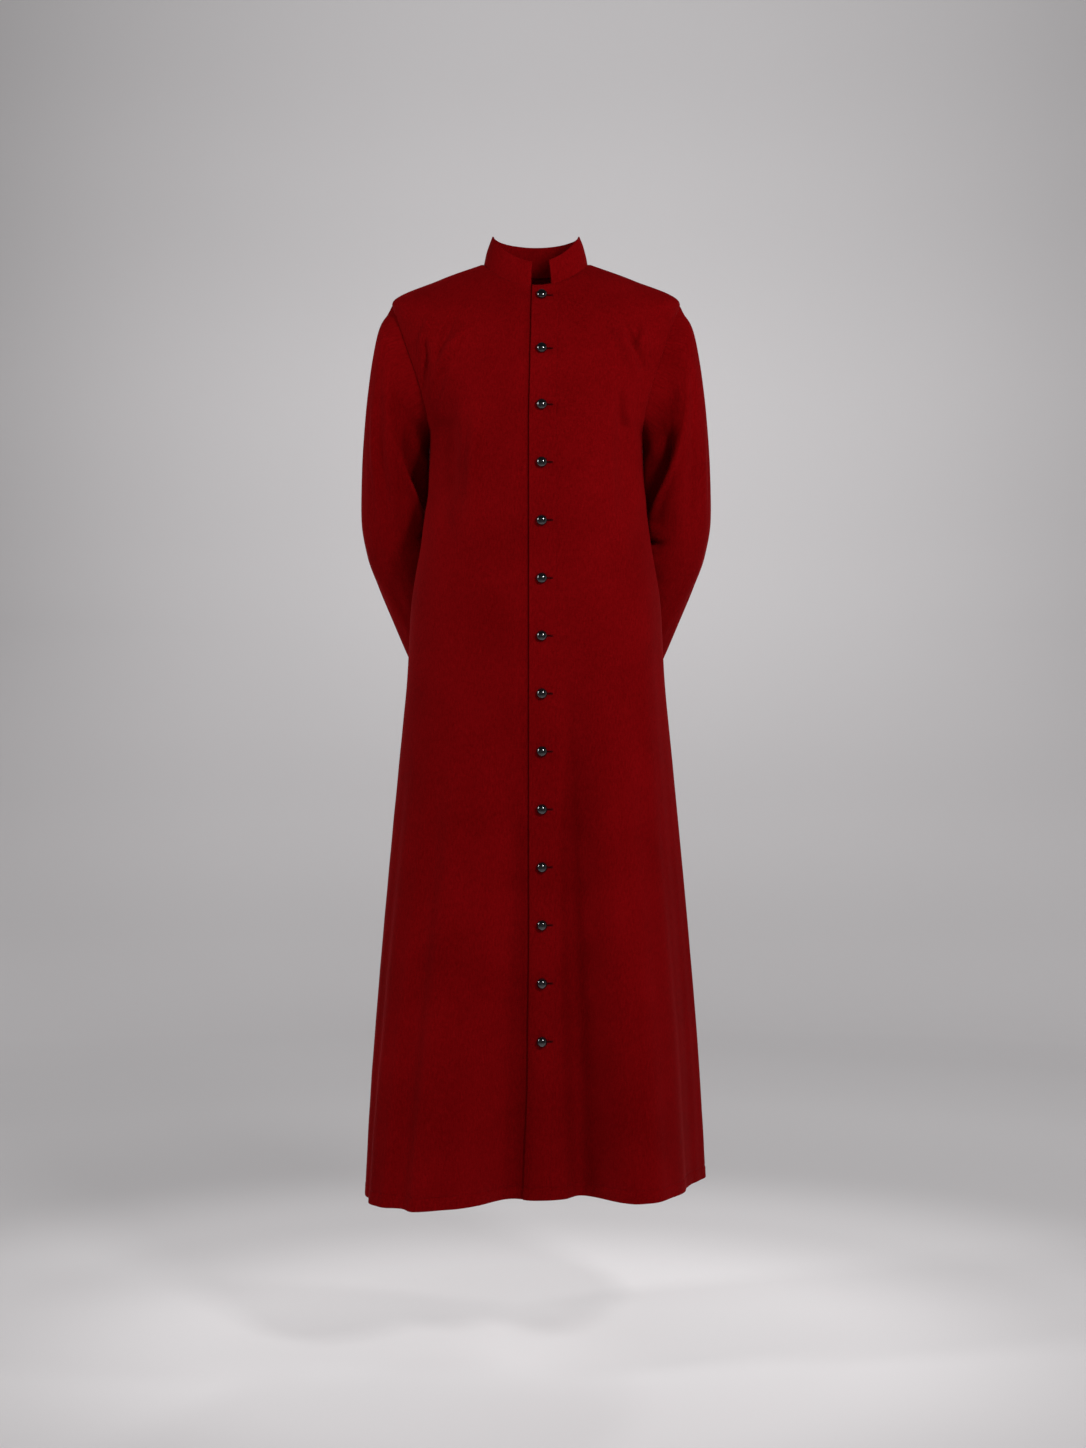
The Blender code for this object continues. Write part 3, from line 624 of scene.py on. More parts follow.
def unevenness(u, v, depth):
    """A slow, shallow waviness, from a few sines that never line up."""
    wave = np.sin(41.0 * u + 2.1 * np.sin(17.0 * v + 0.7)) + np.sin(29.0 * v - 23.0 * u + 1.3)
    wave = wave + 0.6 * np.sin(67.0 * u + 19.0 * v + 2.6) + 0.5 * np.sin(83.0 * v + 31.0 * u + 0.4)
    return depth * wave / 3.1


print("creases:", len(CREASES))

# %% [markdown]
# ## From a grid of points to a wall of cloth
#
# Each piece starts as a flat bmesh grid whose corners are moved to the worked-out points. Extruding it and
# moving the copy inwards gives the cloth its thickness and closes its edges. A free edge, such as the hem,
# is a fold of cloth and not a cut, so both faces curve together over the last millimetre. The UV map holds
# each point's place in the flat cloth in metres, for the weave.

# %% Build a wall
SEAM_DIP, SEAM_DIP_WIDTH = 0.0013, 0.0017


def rounded(distance, radius):
    """How far a face curves in, near a free edge, so that the edge is round."""
    near = np.clip(radius - distance, 0.0, radius)
    return 0.85 * (radius - np.sqrt(np.maximum(radius**2 - near**2, 0.0)))


def seam_dip(distance):
    """A seam pulls the cloth down a little on both of its sides."""
    return -SEAM_DIP * np.exp(-((distance / SEAM_DIP_WIDTH) ** 2))


def finish_mesh(name, mesh, *materials):
    """Turns a bmesh into a smooth object in the scene, with its materials."""
    data = bpy.data.meshes.new(name)
    mesh.to_mesh(data)
    mesh.free()
    for material in materials:
        data.materials.append(material)
    data.shade_smooth()
    obj = bpy.data.objects.new(name, data)
    bpy.context.scene.collection.objects.link(obj)
    return obj


def wall(name, points, normals, cloth_places, thickness, edge, material):
    """A closed wall. edge is how far each point is from the nearest free edge."""
    rows, columns = points.shape[:2]
    curve_in = rounded(edge, thickness / 2)[..., None]
    outer = (points - normals * curve_in).reshape(-1, 3)
    inner = (points - normals * (thickness - curve_in)).reshape(-1, 3)
    mesh = bmesh.new()
    place = mesh.verts.layers.int.new("place")
    bmesh.ops.create_grid(mesh, x_segments=columns - 1, y_segments=rows - 1, size=1)
    for i, vert in enumerate(mesh.verts):
        vert[place] = i
        vert.co = outer[i]
    bmesh.ops.remove_doubles(mesh, verts=mesh.verts, dist=1e-6)
    whole = mesh.faces[:] + mesh.edges[:] + mesh.verts[:]
    made = bmesh.ops.extrude_face_region(mesh, geom=whole, use_keep_orig=True)
    for vert in made["geom"]:
        if isinstance(vert, bmesh.types.BMVert):
            vert.co = inner[vert[place]]
    bmesh.ops.recalc_face_normals(mesh, faces=mesh.faces)
    obj = finish_mesh(name, mesh, material)
    lay_cloth_map(obj.data, cloth_places.reshape(-1, 2))
    triangles = sum(len(face.vertices) - 2 for face in obj.data.polygons)
    print(f"{name}: {triangles} triangles, {one_side_area(points):.3f} m2 of cloth")
    return obj


def lay_cloth_map(data, places):
    """Writes the UV map from each corner's place in the grid."""
    place = np.zeros(len(data.vertices), np.int32)
    data.attributes["place"].data.foreach_get("value", place)
    corners = np.zeros(len(data.loops), np.int32)
    data.loops.foreach_get("vertex_index", corners)
    layer = data.uv_layers.new(name="cloth")
    layer.data.foreach_set("uv", places[place[corners]].astype(np.float32).ravel())
    data.attributes.remove(data.attributes["place"])


def one_side_area(points):
    """The area of one face of a grid."""
    first = np.cross(points[1:, :-1] - points[:-1, :-1], points[:-1, 1:] - points[:-1, :-1])
    second = np.cross(points[:-1, 1:] - points[1:, 1:], points[1:, :-1] - points[1:, 1:])
    return float(np.linalg.norm(first, axis=-1).sum() + np.linalg.norm(second, axis=-1).sum()) / 2


print("edge rounding of 1.5 mm cloth, mm:", round(1000 * float(rounded(np.array(0.0), CLOTH / 2)), 2))

# %% [markdown]
# ## The hem and the facing
#
# The hem is turned up and stitched 18 mm above its edge, so a double band stands out a little, with a faint
# groove where the thread pulls and small puckers below it. The left front has a facing behind it, and the
# line of stitches that holds the facing runs down the panel, well outside the buttons. Beside the lap's
# edge the right front dips into a narrow groove, which fills with shadow.

# %% Relief of the hem, the facing and the buttons
FACING_WIDTH = 0.0385
FACING_STEPS = EDGE_STEPS + (
    0.007, 0.012, 0.017, 0.022, 0.027, 0.032, 0.0355, 0.0372, FACING_WIDTH, 0.0398, 0.0415, 0.045,
)
UNDERLAP_STEPS = EDGE_STEPS + (0.008, 0.013, 0.018, 0.022, 0.0255, 0.028) + tuple(
    0.0292 + 0.0012 * i for i in range(16)
)
LAP_GROOVE, LAP_GROOVE_WIDTH = 0.0016, 0.0048
FACING_GROOVE, FACING_GROOVE_WIDTH = 0.0004, 0.0024
PRESSED_EDGE, PRESSED_EDGE_WIDTH = 0.0004, 0.0045
HEM_BAND, HEM_GROOVE, HEM_PUCKER, PUCKER_PITCH = 0.00035, 0.0006, 0.00032, 0.0135
BUTTON_DIMPLE, BUTTON_DIMPLE_RADIUS = 0.0005, 0.013
BODY_WAVINESS = 0.0007
LEVEL_ONLY = np.array([1.0, 1.0, 0.0])
BUTTON_COUNT = 14
FIRST_BUTTON_Z = -0.0625
BUTTON_PITCH = 0.0822
BUTTON_ZS = [FIRST_BUTTON_Z - i * BUTTON_PITCH for i in range(BUTTON_COUNT)]


def hem_relief(from_edge, along, depth=HEM_DEPTH):
    """The double band of a turned hem, its stitch groove and its puckers."""
    band = HEM_BAND * ease((depth - from_edge) / 0.0025)
    groove = -HEM_GROOVE * bell((from_edge - depth) / 0.0026)
    pucker = np.sin(2 * math.pi * along / PUCKER_PITCH + 1.7 * np.sin(9.0 * along))
    where = 0.35 + 0.65 * np.sin(7.3 * along + 0.6) ** 2
    return band + groove + HEM_PUCKER * pucker * where * bell((from_edge - 0.6 * depth) / (0.7 * depth))


def button_dimples(points):
    """Each button presses the cloth in a little."""
    push = np.zeros(points.shape[:2])
    for z in BUTTON_ZS:
        away = np.hypot(points[..., 0] - CENTRE_FRONT_X, points[..., 2] - z)
        push -= BUTTON_DIMPLE * bell(away / BUTTON_DIMPLE_RADIUS)
    return push


def dressed_panel(side, points, from_start, from_end, relief):
    """The body's panel with its creases, its slow waviness, its seams and its hem."""
    normals = grid_normals(points, points * LEVEL_ONLY)
    calm = ease(from_end / 0.014) * ease(FROM_NECK / 0.012)
    if side == "back":
        calm = calm * ease(from_start / 0.014)
    soft = crease_push(points, side) + unevenness(points[..., 0], points[..., 2], BODY_WAVINESS)
    push = soft * calm + seam_dip(from_end) + seam_dip(FROM_NECK) + relief
    if side == "back":
        push = push + seam_dip(from_start)
    push = push + hem_relief(FROM_HEM, from_start)
    points = points + normals * push[..., None]
    return points, grid_normals(points, points * LEVEL_ONLY)


print("hem depth, mm:", 1000 * HEM_DEPTH)

# %% [markdown]
# ## The two fronts
#
# Both fronts read the same creases, so the lap stays parallel all the way down. The right front's let-in
# strip is the one that the left front hides.

# %% Cut and dress the fronts
points, from_start, from_end = panel_grid(lap_edge_x, -30.0, 90.0, FACING_STEPS)
below_neck = ease(FROM_NECK / 0.02)
facing_groove = -FACING_GROOVE * bell((from_start - FACING_WIDTH) / FACING_GROOVE_WIDTH) * below_neck
pressed_edge = PRESSED_EDGE * bell(from_start / PRESSED_EDGE_WIDTH) * below_neck
left_points, left_normals = dressed_panel(
    "front", points, from_start, from_end, facing_groove + pressed_edge + button_dimples(points)
)
left_places = np.stack([from_start, np.broadcast_to(FROM_NECK, from_start.shape)], axis=-1)
left_edge = np.minimum(from_start, np.broadcast_to(FROM_HEM, from_start.shape))
front_left = wall(
    "front_left_cloth", left_points, left_normals, left_places, CLOTH, left_edge, red_cloth
)
facing_column = int(np.argmin(np.abs(from_start[0] - FACING_WIDTH)))

points, from_start, from_end = panel_grid(
    lambda z: CENTRE_FRONT_X + UNDERLAP_PAST_BUTTONS, 30.0, -90.0, UNDERLAP_STEPS
)
beside = lap_edge_x(points[..., 2]) - points[..., 0]
let_in = -(CLOTH + LAP_GAP) * ease((LAP_STEP_WIDTH - beside) / (0.98 * LAP_STEP_WIDTH))
let_in = let_in - LAP_GROOVE * ease((LAP_GROOVE_WIDTH - beside) / LAP_GROOVE_WIDTH)
right_points, right_normals = dressed_panel(
    "front", points, from_start, from_end, let_in + button_dimples(points)
)
right_places = np.stack([-from_start, np.broadcast_to(FROM_NECK, from_start.shape)], axis=-1)
right_edge = np.minimum(from_start, np.broadcast_to(FROM_HEM, from_start.shape))
front_right = wall(
    "front_right_cloth", right_points, right_normals, right_places, CLOTH, right_edge, red_cloth
)

# %% [markdown]
# ## The back
#
# The back is one panel from side seam to side seam. Nothing of it shows in the photograph, so it is plain.

# %% Cut and dress the back
points, from_start, from_end = panel_grid(None, -90.001, -269.999, SEAM_STEPS, BACK_COLUMN_PITCH)
back_points, back_normals = dressed_panel("back", points, from_start, from_end, 0.0)
back_places = np.stack([from_start, np.broadcast_to(FROM_NECK, from_start.shape)], axis=-1)
back_edge = np.broadcast_to(FROM_HEM, from_start.shape)
back = wall("back_cloth", back_points, back_normals, back_places, CLOTH, back_edge, red_cloth)


def tree_of(*grids):
    """The faces of some grids, for finding the nearest one or the first one on a line."""
    verts, faces = [], []
    for grid in grids:
        rows, columns = grid.shape[:2]
        index = len(verts) + np.arange(rows * columns).reshape(rows, columns)
        verts += [tuple(p) for p in grid.reshape(-1, 3)]
        quads = np.stack([index[:-1, :-1], index[:-1, 1:], index[1:, 1:], index[1:, :-1]], axis=-1)
        faces += quads.reshape(-1, 4).tolist()
    return BVHTree.FromPolygons(verts, faces)


body_tree = tree_of(left_points, right_points, back_points)
front_tree = tree_of(left_points)

# %% [markdown]
# ## The sleeves
#
# A sleeve is a tube that starts on the armhole, an oval on the body's side, and bends back at the elbow to
# the hands behind the back. It is drawn as rings, given by their outermost and innermost points. A tailor
# cuts it as a top sleeve and an under sleeve, whose two lengthwise seams are out of sight from the front.
# The rings are the CAD part's, but the first two are 2.5 and 3 mm narrower at the shoulder.

# %% The sleeve's rings
SleeveRing = namedtuple("SleeveRing", "name outer inner half_depth")
SLEEVE_RINGS = [
    SleeveRing("sleeve head", (0.2215, 0.002, -0.080), (0.1590, 0.016, -0.266), 0.0620),
    SleeveRing("cap", (0.2365, 0.008, -0.121), (0.1605, 0.022, -0.272), 0.0650),
    SleeveRing("underarm", (0.2535, 0.022, -0.222), (0.1630, 0.034, -0.290), 0.0660),
    SleeveRing("upper arm", (0.2610, 0.040, -0.308), (0.1620, 0.054, -0.332), 0.0630),
    SleeveRing("above elbow", (0.2635, 0.062, -0.374), (0.1570, 0.072, -0.370), 0.0590),
    SleeveRing("elbow", (0.2560, 0.085, -0.426), (0.1450, 0.085, -0.402), 0.0570),
    SleeveRing("below elbow", (0.2415, 0.104, -0.468), (0.1320, 0.099, -0.438), 0.0540),
    SleeveRing("forearm", (0.2200, 0.128, -0.523), (0.1150, 0.119, -0.491), 0.0500),
    SleeveRing("above wrist", (0.1960, 0.150, -0.580), (0.0970, 0.140, -0.550), 0.0465),
    SleeveRing("cuff", (0.1640, 0.172, -0.653), (0.0740, 0.164, -0.624), 0.0435),
]
MIRRORS = {"left": np.array([1.0, 1.0, 1.0]), "right": np.array([-1.0, 1.0, 1.0])}
TOP_SLEEVE_COLUMNS, UNDER_SLEEVE_COLUMNS = 74, 40
FRONT_SEAM_TURN, HIND_SEAM_TURN = 178.0, 306.0
SLEEVE_ROW_PITCH = 0.0040
SLEEVE_CLEARANCE = 0.0030
SLEEVE_WAVINESS = 0.0006
# A panel's column at the armhole, and a column further in that shows which way the cloth runs.
LAST_COLUMNS, FIRST_COLUMNS = (-1, -5), (0, 4)
SLEEVE_FULLNESS = 0.0004
CUFF_DEPTH = 0.020
CUFF_STEPS = EDGE_STEPS + (0.007, 0.011, 0.015, 0.0175, 0.0188, CUFF_DEPTH, 0.0212, 0.0226, 0.025)


def armhole(side, turns):
    """The armhole of the dressed body, as if it were the left one, at some turns in degrees from the shoulder
    tip down the front and up the back: its points, the way out of the cloth, and the way to the sleeve."""
    rows = (ROW_LEVELS > TIP_LEVEL - 1e-9) & (ROW_LEVELS < PIT_LEVEL + 1e-9)
    mirror = MIRRORS[side]
    fronts = (left_points, left_normals) if side == "left" else (right_points, right_normals)
    back_columns = LAST_COLUMNS if side == "left" else FIRST_COLUMNS
    halves = [(*fronts, *LAST_COLUMNS), (back_points, back_normals, *back_columns)]
    knots, found = [], []
    for grid, normals, edge, inside in halves:
        line, out = grid[rows, edge] * mirror, normals[rows, edge] * mirror
        along = unit(np.gradient(line, axis=0))
        away = unit(line - grid[rows, inside] * mirror)
        away = unit(away - np.sum(away * along, axis=1, keepdims=True) * along)
        knots.append(180.0 * distances(line) / distances(line)[-1])
        found.append((line, out, away))
    knots = np.concatenate([knots[0], 360.0 - knots[1][-2::-1]])
    parts = [np.concatenate([front, back[-2::-1]]) for front, back in zip(*found)]
    line, out, away = [read_along(turns, knots, part) for part in parts]
    return line, unit(out), unit(away)


outer = np.array([ring.outer for ring in SLEEVE_RINGS])
inner = np.array([ring.inner for ring in SLEEVE_RINGS])
ring_depth = np.array([ring.half_depth for ring in SLEEVE_RINGS])
ring_centre = (outer + inner) / 2
ring_across = (outer - inner) / 2
ring_path = np.gradient(ring_centre, axis=0)
ring_forward = unit(np.cross(ring_path, ring_across)) * ring_depth[:, None]
seam_points, _, _ = armhole("left", np.array([0.0, 180.0]))
SLEEVE_KNOTS = distances(np.vstack([seam_points.mean(axis=0), ring_centre]))
print("sleeve length from the armhole, m:", round(float(SLEEVE_KNOTS[-1]), 3))

# %% [markdown]
# ## The sleeves' creases
#
# A bent arm gathers cloth in the crook of the elbow and draws long soft folds down from the shoulder. Each
# stroke here runs from one place on the sleeve to another: how far down the sleeve, and how far round it in
# degrees from the outer line towards the front. The two sleeves crease differently, as they do in the
# photograph.

# %% The sleeve creases
SleeveCrease = namedtuple("SleeveCrease", "name side along1 turn1 along2 turn2 half_width depth")
SLEEVE_CREASES = [
    SleeveCrease("inner side", "both", 0.060, 186, 0.260, 176, 0.042, 0.0120),
    SleeveCrease("front ridge", "both", 0.015, 84, 0.230, 100, 0.026, 0.0050),
    SleeveCrease("shaded hollow", "left", 0.060, 118, 0.222, 170, 0.039, -0.0280),
    SleeveCrease("crook edge", "left", 0.070, 84, 0.238, 150, 0.015, 0.0110),
    SleeveCrease("elbow roll", "left", 0.234, 172, 0.222, 112, 0.014, 0.0080),
    SleeveCrease("elbow crease", "left", 0.258, 168, 0.250, 106, 0.013, -0.0140),
    SleeveCrease("elbow hook", "left", 0.262, 120, 0.238, 96, 0.009, -0.0044),
    SleeveCrease("low elbow roll", "left", 0.280, 176, 0.280, 92, 0.013, 0.0044),
    SleeveCrease("low elbow crease", "left", 0.304, 170, 0.310, 84, 0.013, -0.0044),
    SleeveCrease("sleeve shade", "left", 0.015, 134, 0.150, 124, 0.024, -0.0130),
    SleeveCrease("outer ridge", "left", 0.040, 38, 0.300, 30, 0.016, 0.0020),
    SleeveCrease("outer trough", "left", 0.060, 64, 0.260, 62, 0.017, -0.0034),
    SleeveCrease("head ridge", "left", 0.010, 70, 0.110, 86, 0.013, 0.0022),
    SleeveCrease("head trough", "left", 0.012, 112, 0.100, 112, 0.012, -0.0024),
    SleeveCrease("shaded hollow", "right", 0.070, 128, 0.222, 174, 0.034, -0.0220),
    SleeveCrease("crook edge", "right", 0.070, 96, 0.240, 146, 0.015, 0.0080),
    SleeveCrease("elbow crease", "right", 0.244, 178, 0.240, 118, 0.012, -0.0090),
    SleeveCrease("elbow roll", "right", 0.266, 176, 0.266, 104, 0.015, 0.0050),
    SleeveCrease("low elbow crease", "right", 0.296, 172, 0.304, 98, 0.014, -0.0040),
    SleeveCrease("sleeve shade", "right", 0.015, 134, 0.150, 126, 0.024, -0.0130),
    SleeveCrease("outer ridge", "right", 0.070, 46, 0.190, 56, 0.011, 0.0034),
    SleeveCrease("outer trough", "right", 0.050, 64, 0.220, 78, 0.014, -0.0036),
    SleeveCrease("head ridge", "right", 0.012, 78, 0.100, 86, 0.013, 0.0022),
    SleeveCrease("head trough", "right", 0.014, 104, 0.120, 104, 0.012, -0.0022),
    SleeveCrease("long outer fold", "right", 0.230, 20, 0.440, 60, 0.020, 0.0022),
    SleeveCrease("long outer fold", "left", 0.250, 24, 0.450, 64, 0.020, 0.0020),
    SleeveCrease("back elbow ridge", "both", 0.230, 300, 0.330, 250, 0.018, 0.0036),
    SleeveCrease("back elbow trough", "both", 0.200, 290, 0.300, 232, 0.016, -0.0036),
    SleeveCrease("back upper fold", "left", 0.050, 300, 0.200, 286, 0.020, -0.0026),
    SleeveCrease("back upper fold", "right", 0.040, 286, 0.210, 300, 0.020, -0.0026),
    SleeveCrease("back forearm ridge", "left", 0.330, 262, 0.480, 236, 0.018, 0.0028),
    SleeveCrease("back forearm trough", "right", 0.340, 300, 0.490, 262, 0.018, -0.0026),
    SleeveCrease("cuff crease", "left", 0.440, 300, 0.500, 210, 0.014, -0.0022),
    SleeveCrease("cuff crease", "right", 0.430, 220, 0.490, 310, 0.014, -0.0022),
]
SLEEVE_RADIUS = 0.06
METRES_PER_DEGREE = math.radians(1) * SLEEVE_RADIUS


def sleeve_crease_push(side, along, turn):
    """How far the sleeve's creases move each point out."""
    push = np.zeros(np.broadcast(along, turn).shape)
    for crease in SLEEVE_CREASES:
        if crease.side not in ("both", side):
            continue
        middle = (crease.turn1 + crease.turn2) / 2
        round_it = ((turn - middle + 180.0) % 360.0 - 180.0 + middle) * METRES_PER_DEGREE
        first_end = (crease.along1, crease.turn1 * METRES_PER_DEGREE)
        last_end = (crease.along2, crease.turn2 * METRES_PER_DEGREE)
        share, aside = along_stroke(along, round_it, first_end, last_end)
        push += crease.depth * bell(aside / crease.half_width) * bell((share - 0.5) / 0.66)
    return push


print("sleeve creases:", len(SLEEVE_CREASES))

# %% [markdown]
# ## Dress the sleeves
#
# The right sleeve is the left one mirrored, with its own creases. Where a sleeve would touch the back, its
# points are moved out to lie just clear of it, so the tube flattens there as real cloth does.

# %% Make the sleeves
def clear_of(tree, points, clearance):
    """Points nearer to the body than their clearance are moved straight out from it."""
    moved = points.copy()
    for i, j in np.ndindex(points.shape[:2]):
        at = Vector(points[i, j])
        near, out, _, _ = tree.find_nearest(at, 0.06)
        if near is None:
            continue
        if out.dot(Vector((near.x, near.y, 0.0))) < 0:
            out = -out
        height = (at - near).dot(out)
        if height < clearance[i]:
            moved[i, j] = at + out * (clearance[i] - height)
    return moved


def closed_normals(points):
    """Directions out of a tube whose last column repeats its first."""
    ring = points[:, :-1]
    around = np.roll(ring, -1, axis=1) - np.roll(ring, 1, axis=1)
    normals = unit(np.cross(around, np.gradient(ring, axis=0)))
    if np.sum((ring - ring.mean(axis=1, keepdims=True)) * normals) < 0:
        normals = -normals
    return np.concatenate([normals, normals[:, :1]], axis=1)


def sleeve_turns():
    """The columns' places: from the hind seam round the front to the front seam, and on to the hind seam."""
    close = np.array(SEAM_STEPS) / METRES_PER_DEGREE
    hind = HIND_SEAM_TURN - 360.0
    top = spread(hind, FRONT_SEAM_TURN, TOP_SLEEVE_COLUMNS, close, close)
    under = spread(FRONT_SEAM_TURN, HIND_SEAM_TURN, UNDER_SLEEVE_COLUMNS, close, close)
    return np.concatenate([top, under[1:]]), len(top) - 1


def dress_sleeve(side):
    """A tube from the armhole to the cuff, creased, kept clear of the body and cut in its two parts."""
    total = float(SLEEVE_KNOTS[-1])
    lengths = spread(0.0, total, round(total / SLEEVE_ROW_PITCH), SEAM_STEPS, CUFF_STEPS)
    turns, front_seam = sleeve_turns()
    start, seam_out, away = armhole(side, turns % 360.0)
    start = start + away * SEAM_GAP
    points = np.zeros((len(lengths), len(turns), 3))
    for j, turn in enumerate(np.radians(turns)):
        line = ring_centre + math.cos(turn) * ring_across + math.sin(turn) * ring_forward
        points[:, j] = smooth_through(SLEEVE_KNOTS, np.vstack([start[j], line]), lengths)
    along, turn = lengths[:, None], turns[None, :]
    from_seam = np.abs(turn - turns[[0, front_seam, -1]][:, None, None]).min(axis=0) * METRES_PER_DEGREE
    free = ease(along / 0.014)[..., None]
    normals = unit(seam_out * (1 - free) + closed_normals(points) * free)
    fullness = SLEEVE_FULLNESS * bell((along - 0.022) / 0.026) * ease((np.cos(np.radians(turn)) + 0.25) / 0.8)
    push = sleeve_crease_push(side, along, turn) + unevenness(along, turn % 360 / 100, SLEEVE_WAVINESS)
    push = push * ease(along / 0.012) * (0.3 + 0.7 * ease((total - along) / 0.03))
    push = push + fullness + seam_dip(along) - seam_dip(0.0) * bell(along / 0.006)
    push = push + hem_relief(total - along, turn * METRES_PER_DEGREE, CUFF_DEPTH)
    push[:, -1] = push[:, 0]
    push = push + seam_dip(from_seam) * ease(along / 0.006)
    points = points + normals * push[..., None]
    clearance = np.where(lengths < 0.004, -0.02, SLEEVE_CLEARANCE * ease((lengths - 0.004) / 0.05))
    points = clear_of(body_tree, points * MIRRORS[side], clearance)
    points[:, -1] = points[:, 0]
    normals = unit(seam_out * MIRRORS[side] * (1 - free) + closed_normals(points) * free)
    places = np.stack(np.broadcast_arrays(turn * METRES_PER_DEGREE, along), axis=-1)
    edge = np.broadcast_to(total - along, points.shape[:2])
    halves = [
        wall(name, points[:, part], normals[:, part], places[:, part], CLOTH, edge[:, part], red_cloth)
        for name, part in (
            (f"top_sleeve_{side}_cloth", slice(0, front_seam + 1)),
            (f"under_sleeve_{side}_cloth", slice(front_seam, None)),
        )
    ]
    return halves, points, normals


(top_left, under_left), sleeve_left_points, sleeve_left_normals = dress_sleeve("left")
(top_right, under_right), sleeve_right_points, sleeve_right_normals = dress_sleeve("right")

# %% [markdown]
# ## The collar
#
# The collar stands on the neckline and is cut away at the front, where a gap of 3 cm is left. Its top line
# is an oval that dips in front. It is stiff, with an interlining, so it has no creases, only a slight swell
# and the turned edge at its top.

# %% Make the collar
COLLAR_CLOTH = 0.0024
COLLAR_NOTCH_RIGHT_X = -0.0065
COLLAR_NOTCH_LEFT_X = 0.0225
COLLAR_TOP_HALF_WIDTH = 0.064
COLLAR_TOP_FRONT_Y, COLLAR_TOP_BACK_Y = -0.067, 0.060
COLLAR_TOP_FRONT_Z, COLLAR_TOP_SIDE_Z, COLLAR_TOP_BACK_Z = -0.0095, 0.041, 0.037
COLLAR_ROUNDING = 0.0015
COLLAR_TURN = 0.0052
COLLAR_OVERLAP = 0.0008
COLLAR_STANDS_PROUD = 0.0003
COLLAR_COLUMNS, COLLAR_ROWS = 150, 12
COLLAR_WAVINESS = 0.0005


def collar_top(angles):
    """The collar's top line at some angles round the neck, in degrees from the front."""
    turned = np.radians(angles)
    front = np.cos(turned) > 0
    reach = np.abs(np.cos(turned))
    y = np.where(front, COLLAR_TOP_FRONT_Y, COLLAR_TOP_BACK_Y) * reach
    end_z = np.where(front, COLLAR_TOP_FRONT_Z, COLLAR_TOP_BACK_Z)
    z = COLLAR_TOP_SIDE_Z + (end_z - COLLAR_TOP_SIDE_Z) * reach**1.5
    return np.stack([COLLAR_TOP_HALF_WIDTH * np.sin(turned), y, z], axis=-1)


def dress_collar():
    """A band from the neckline up to its top line, with rounded free edges."""
    neckline = np.vstack([left_points[0], back_points[0][::-1], right_points[0][::-1]])
    along = distances(neckline)
    left, right = slice(0, left_points.shape[1]), slice(-right_points.shape[1], None)
    order = np.argsort(neckline[left, 0])
    start = np.interp(COLLAR_NOTCH_LEFT_X, neckline[left, 0][order], along[left][order])
    order = np.argsort(neckline[right, 0])
    end = np.interp(COLLAR_NOTCH_RIGHT_X, neckline[right, 0][order], along[right][order])
    at = spread(start, end, COLLAR_COLUMNS, EDGE_STEPS, EDGE_STEPS)
    foot = read_along(at, along, neckline)
    foot[:, 2] -= COLLAR_OVERLAP
    low = SECTIONS[0]
    depth = np.where(foot[:, 1] < 0, -low.front_y, low.back_y)
    top = collar_top(np.degrees(np.arctan2(foot[:, 0] / low.side_x, -foot[:, 1] / depth)))
    height = np.linalg.norm(top - foot, axis=1)
    mean = float(height.mean())
    turned_edge = np.array(EDGE_STEPS + (COLLAR_TURN,)) / mean
    up = spread(0.0, 1.0, COLLAR_ROWS, np.array(SEAM_STEPS) / mean, turned_edge)
    out = unit((foot + top) * LEVEL_ONLY)
    points = foot + (top - foot) * up[:, None, None]
    from_end = np.broadcast_to(np.minimum(at - at[0], at[-1] - at), points.shape[:2])
    from_top = (1 - up)[:, None] * height
    push = COLLAR_STANDS_PROUD + COLLAR_ROUNDING * np.sin(math.pi * up)[:, None]
    push = push + unevenness(3 * at, 3 * up[:, None] * mean, COLLAR_WAVINESS) * ease(from_end / 0.01)
    push = push - 0.0002 * bell((np.minimum(from_top, from_end) - COLLAR_TURN) / 0.0016)
    points = points + out * push[..., None]
    normals = grid_normals(points, points * LEVEL_ONLY)
    places = np.stack(np.broadcast_arrays(at, 0.04 - up[:, None] * mean), axis=-1)
    edge = np.minimum(from_top, from_end)
    return wall("collar_cloth", points, normals, places, COLLAR_CLOTH, edge, red_cloth)


collar = dress_collar()

# %% [markdown]
# ## The buttons
#
# Fourteen polished ball buttons, each half an ellipse spun about its own axis, with a rolled rim and a
# flat back. A short shank of thread holds it off the cloth. Each one stands square to the cloth under it.

# %% Turn the buttons
BUTTON_RADIUS = 0.0078
BUTTON_HEIGHT = 0.0062
BUTTON_BACK = 0.0012
SHANK_RADIUS = 0.0022
SHANK_LENGTH = 0.0016
BUTTON_SIDES = 40


def button_outline():
    """Half of the outline, as (radius, height): the dome, the rolled rim, the back and the shank."""
    rim = SHANK_LENGTH + BUTTON_BACK
    dome = [
        (BUTTON_RADIUS * math.sin(a), rim + BUTTON_HEIGHT * math.cos(a))
        for a in np.radians(np.linspace(0, 90, 13))
    ]
    roll = [
        (BUTTON_RADIUS - BUTTON_BACK * (1 - math.cos(a)), rim - BUTTON_BACK * math.sin(a))
        for a in np.radians([30, 60, 90])
    ]
    flare, neck = (1.25 * SHANK_RADIUS, SHANK_LENGTH), (SHANK_RADIUS, 0.8 * SHANK_LENGTH)
    shank = [flare, neck, (SHANK_RADIUS, 0.0), (0.0, 0.0)]
    return dome + roll + shank


def seat_of(x, z):
    """Where a straight pin, pushed in from the front, meets the left front, and the way out of the cloth."""
    at, out, _, _ = front_tree.ray_cast(Vector((x, -1.0, z)), Vector((0.0, 1.0, 0.0)))
    return at, (out if out.y < 0 else -out)


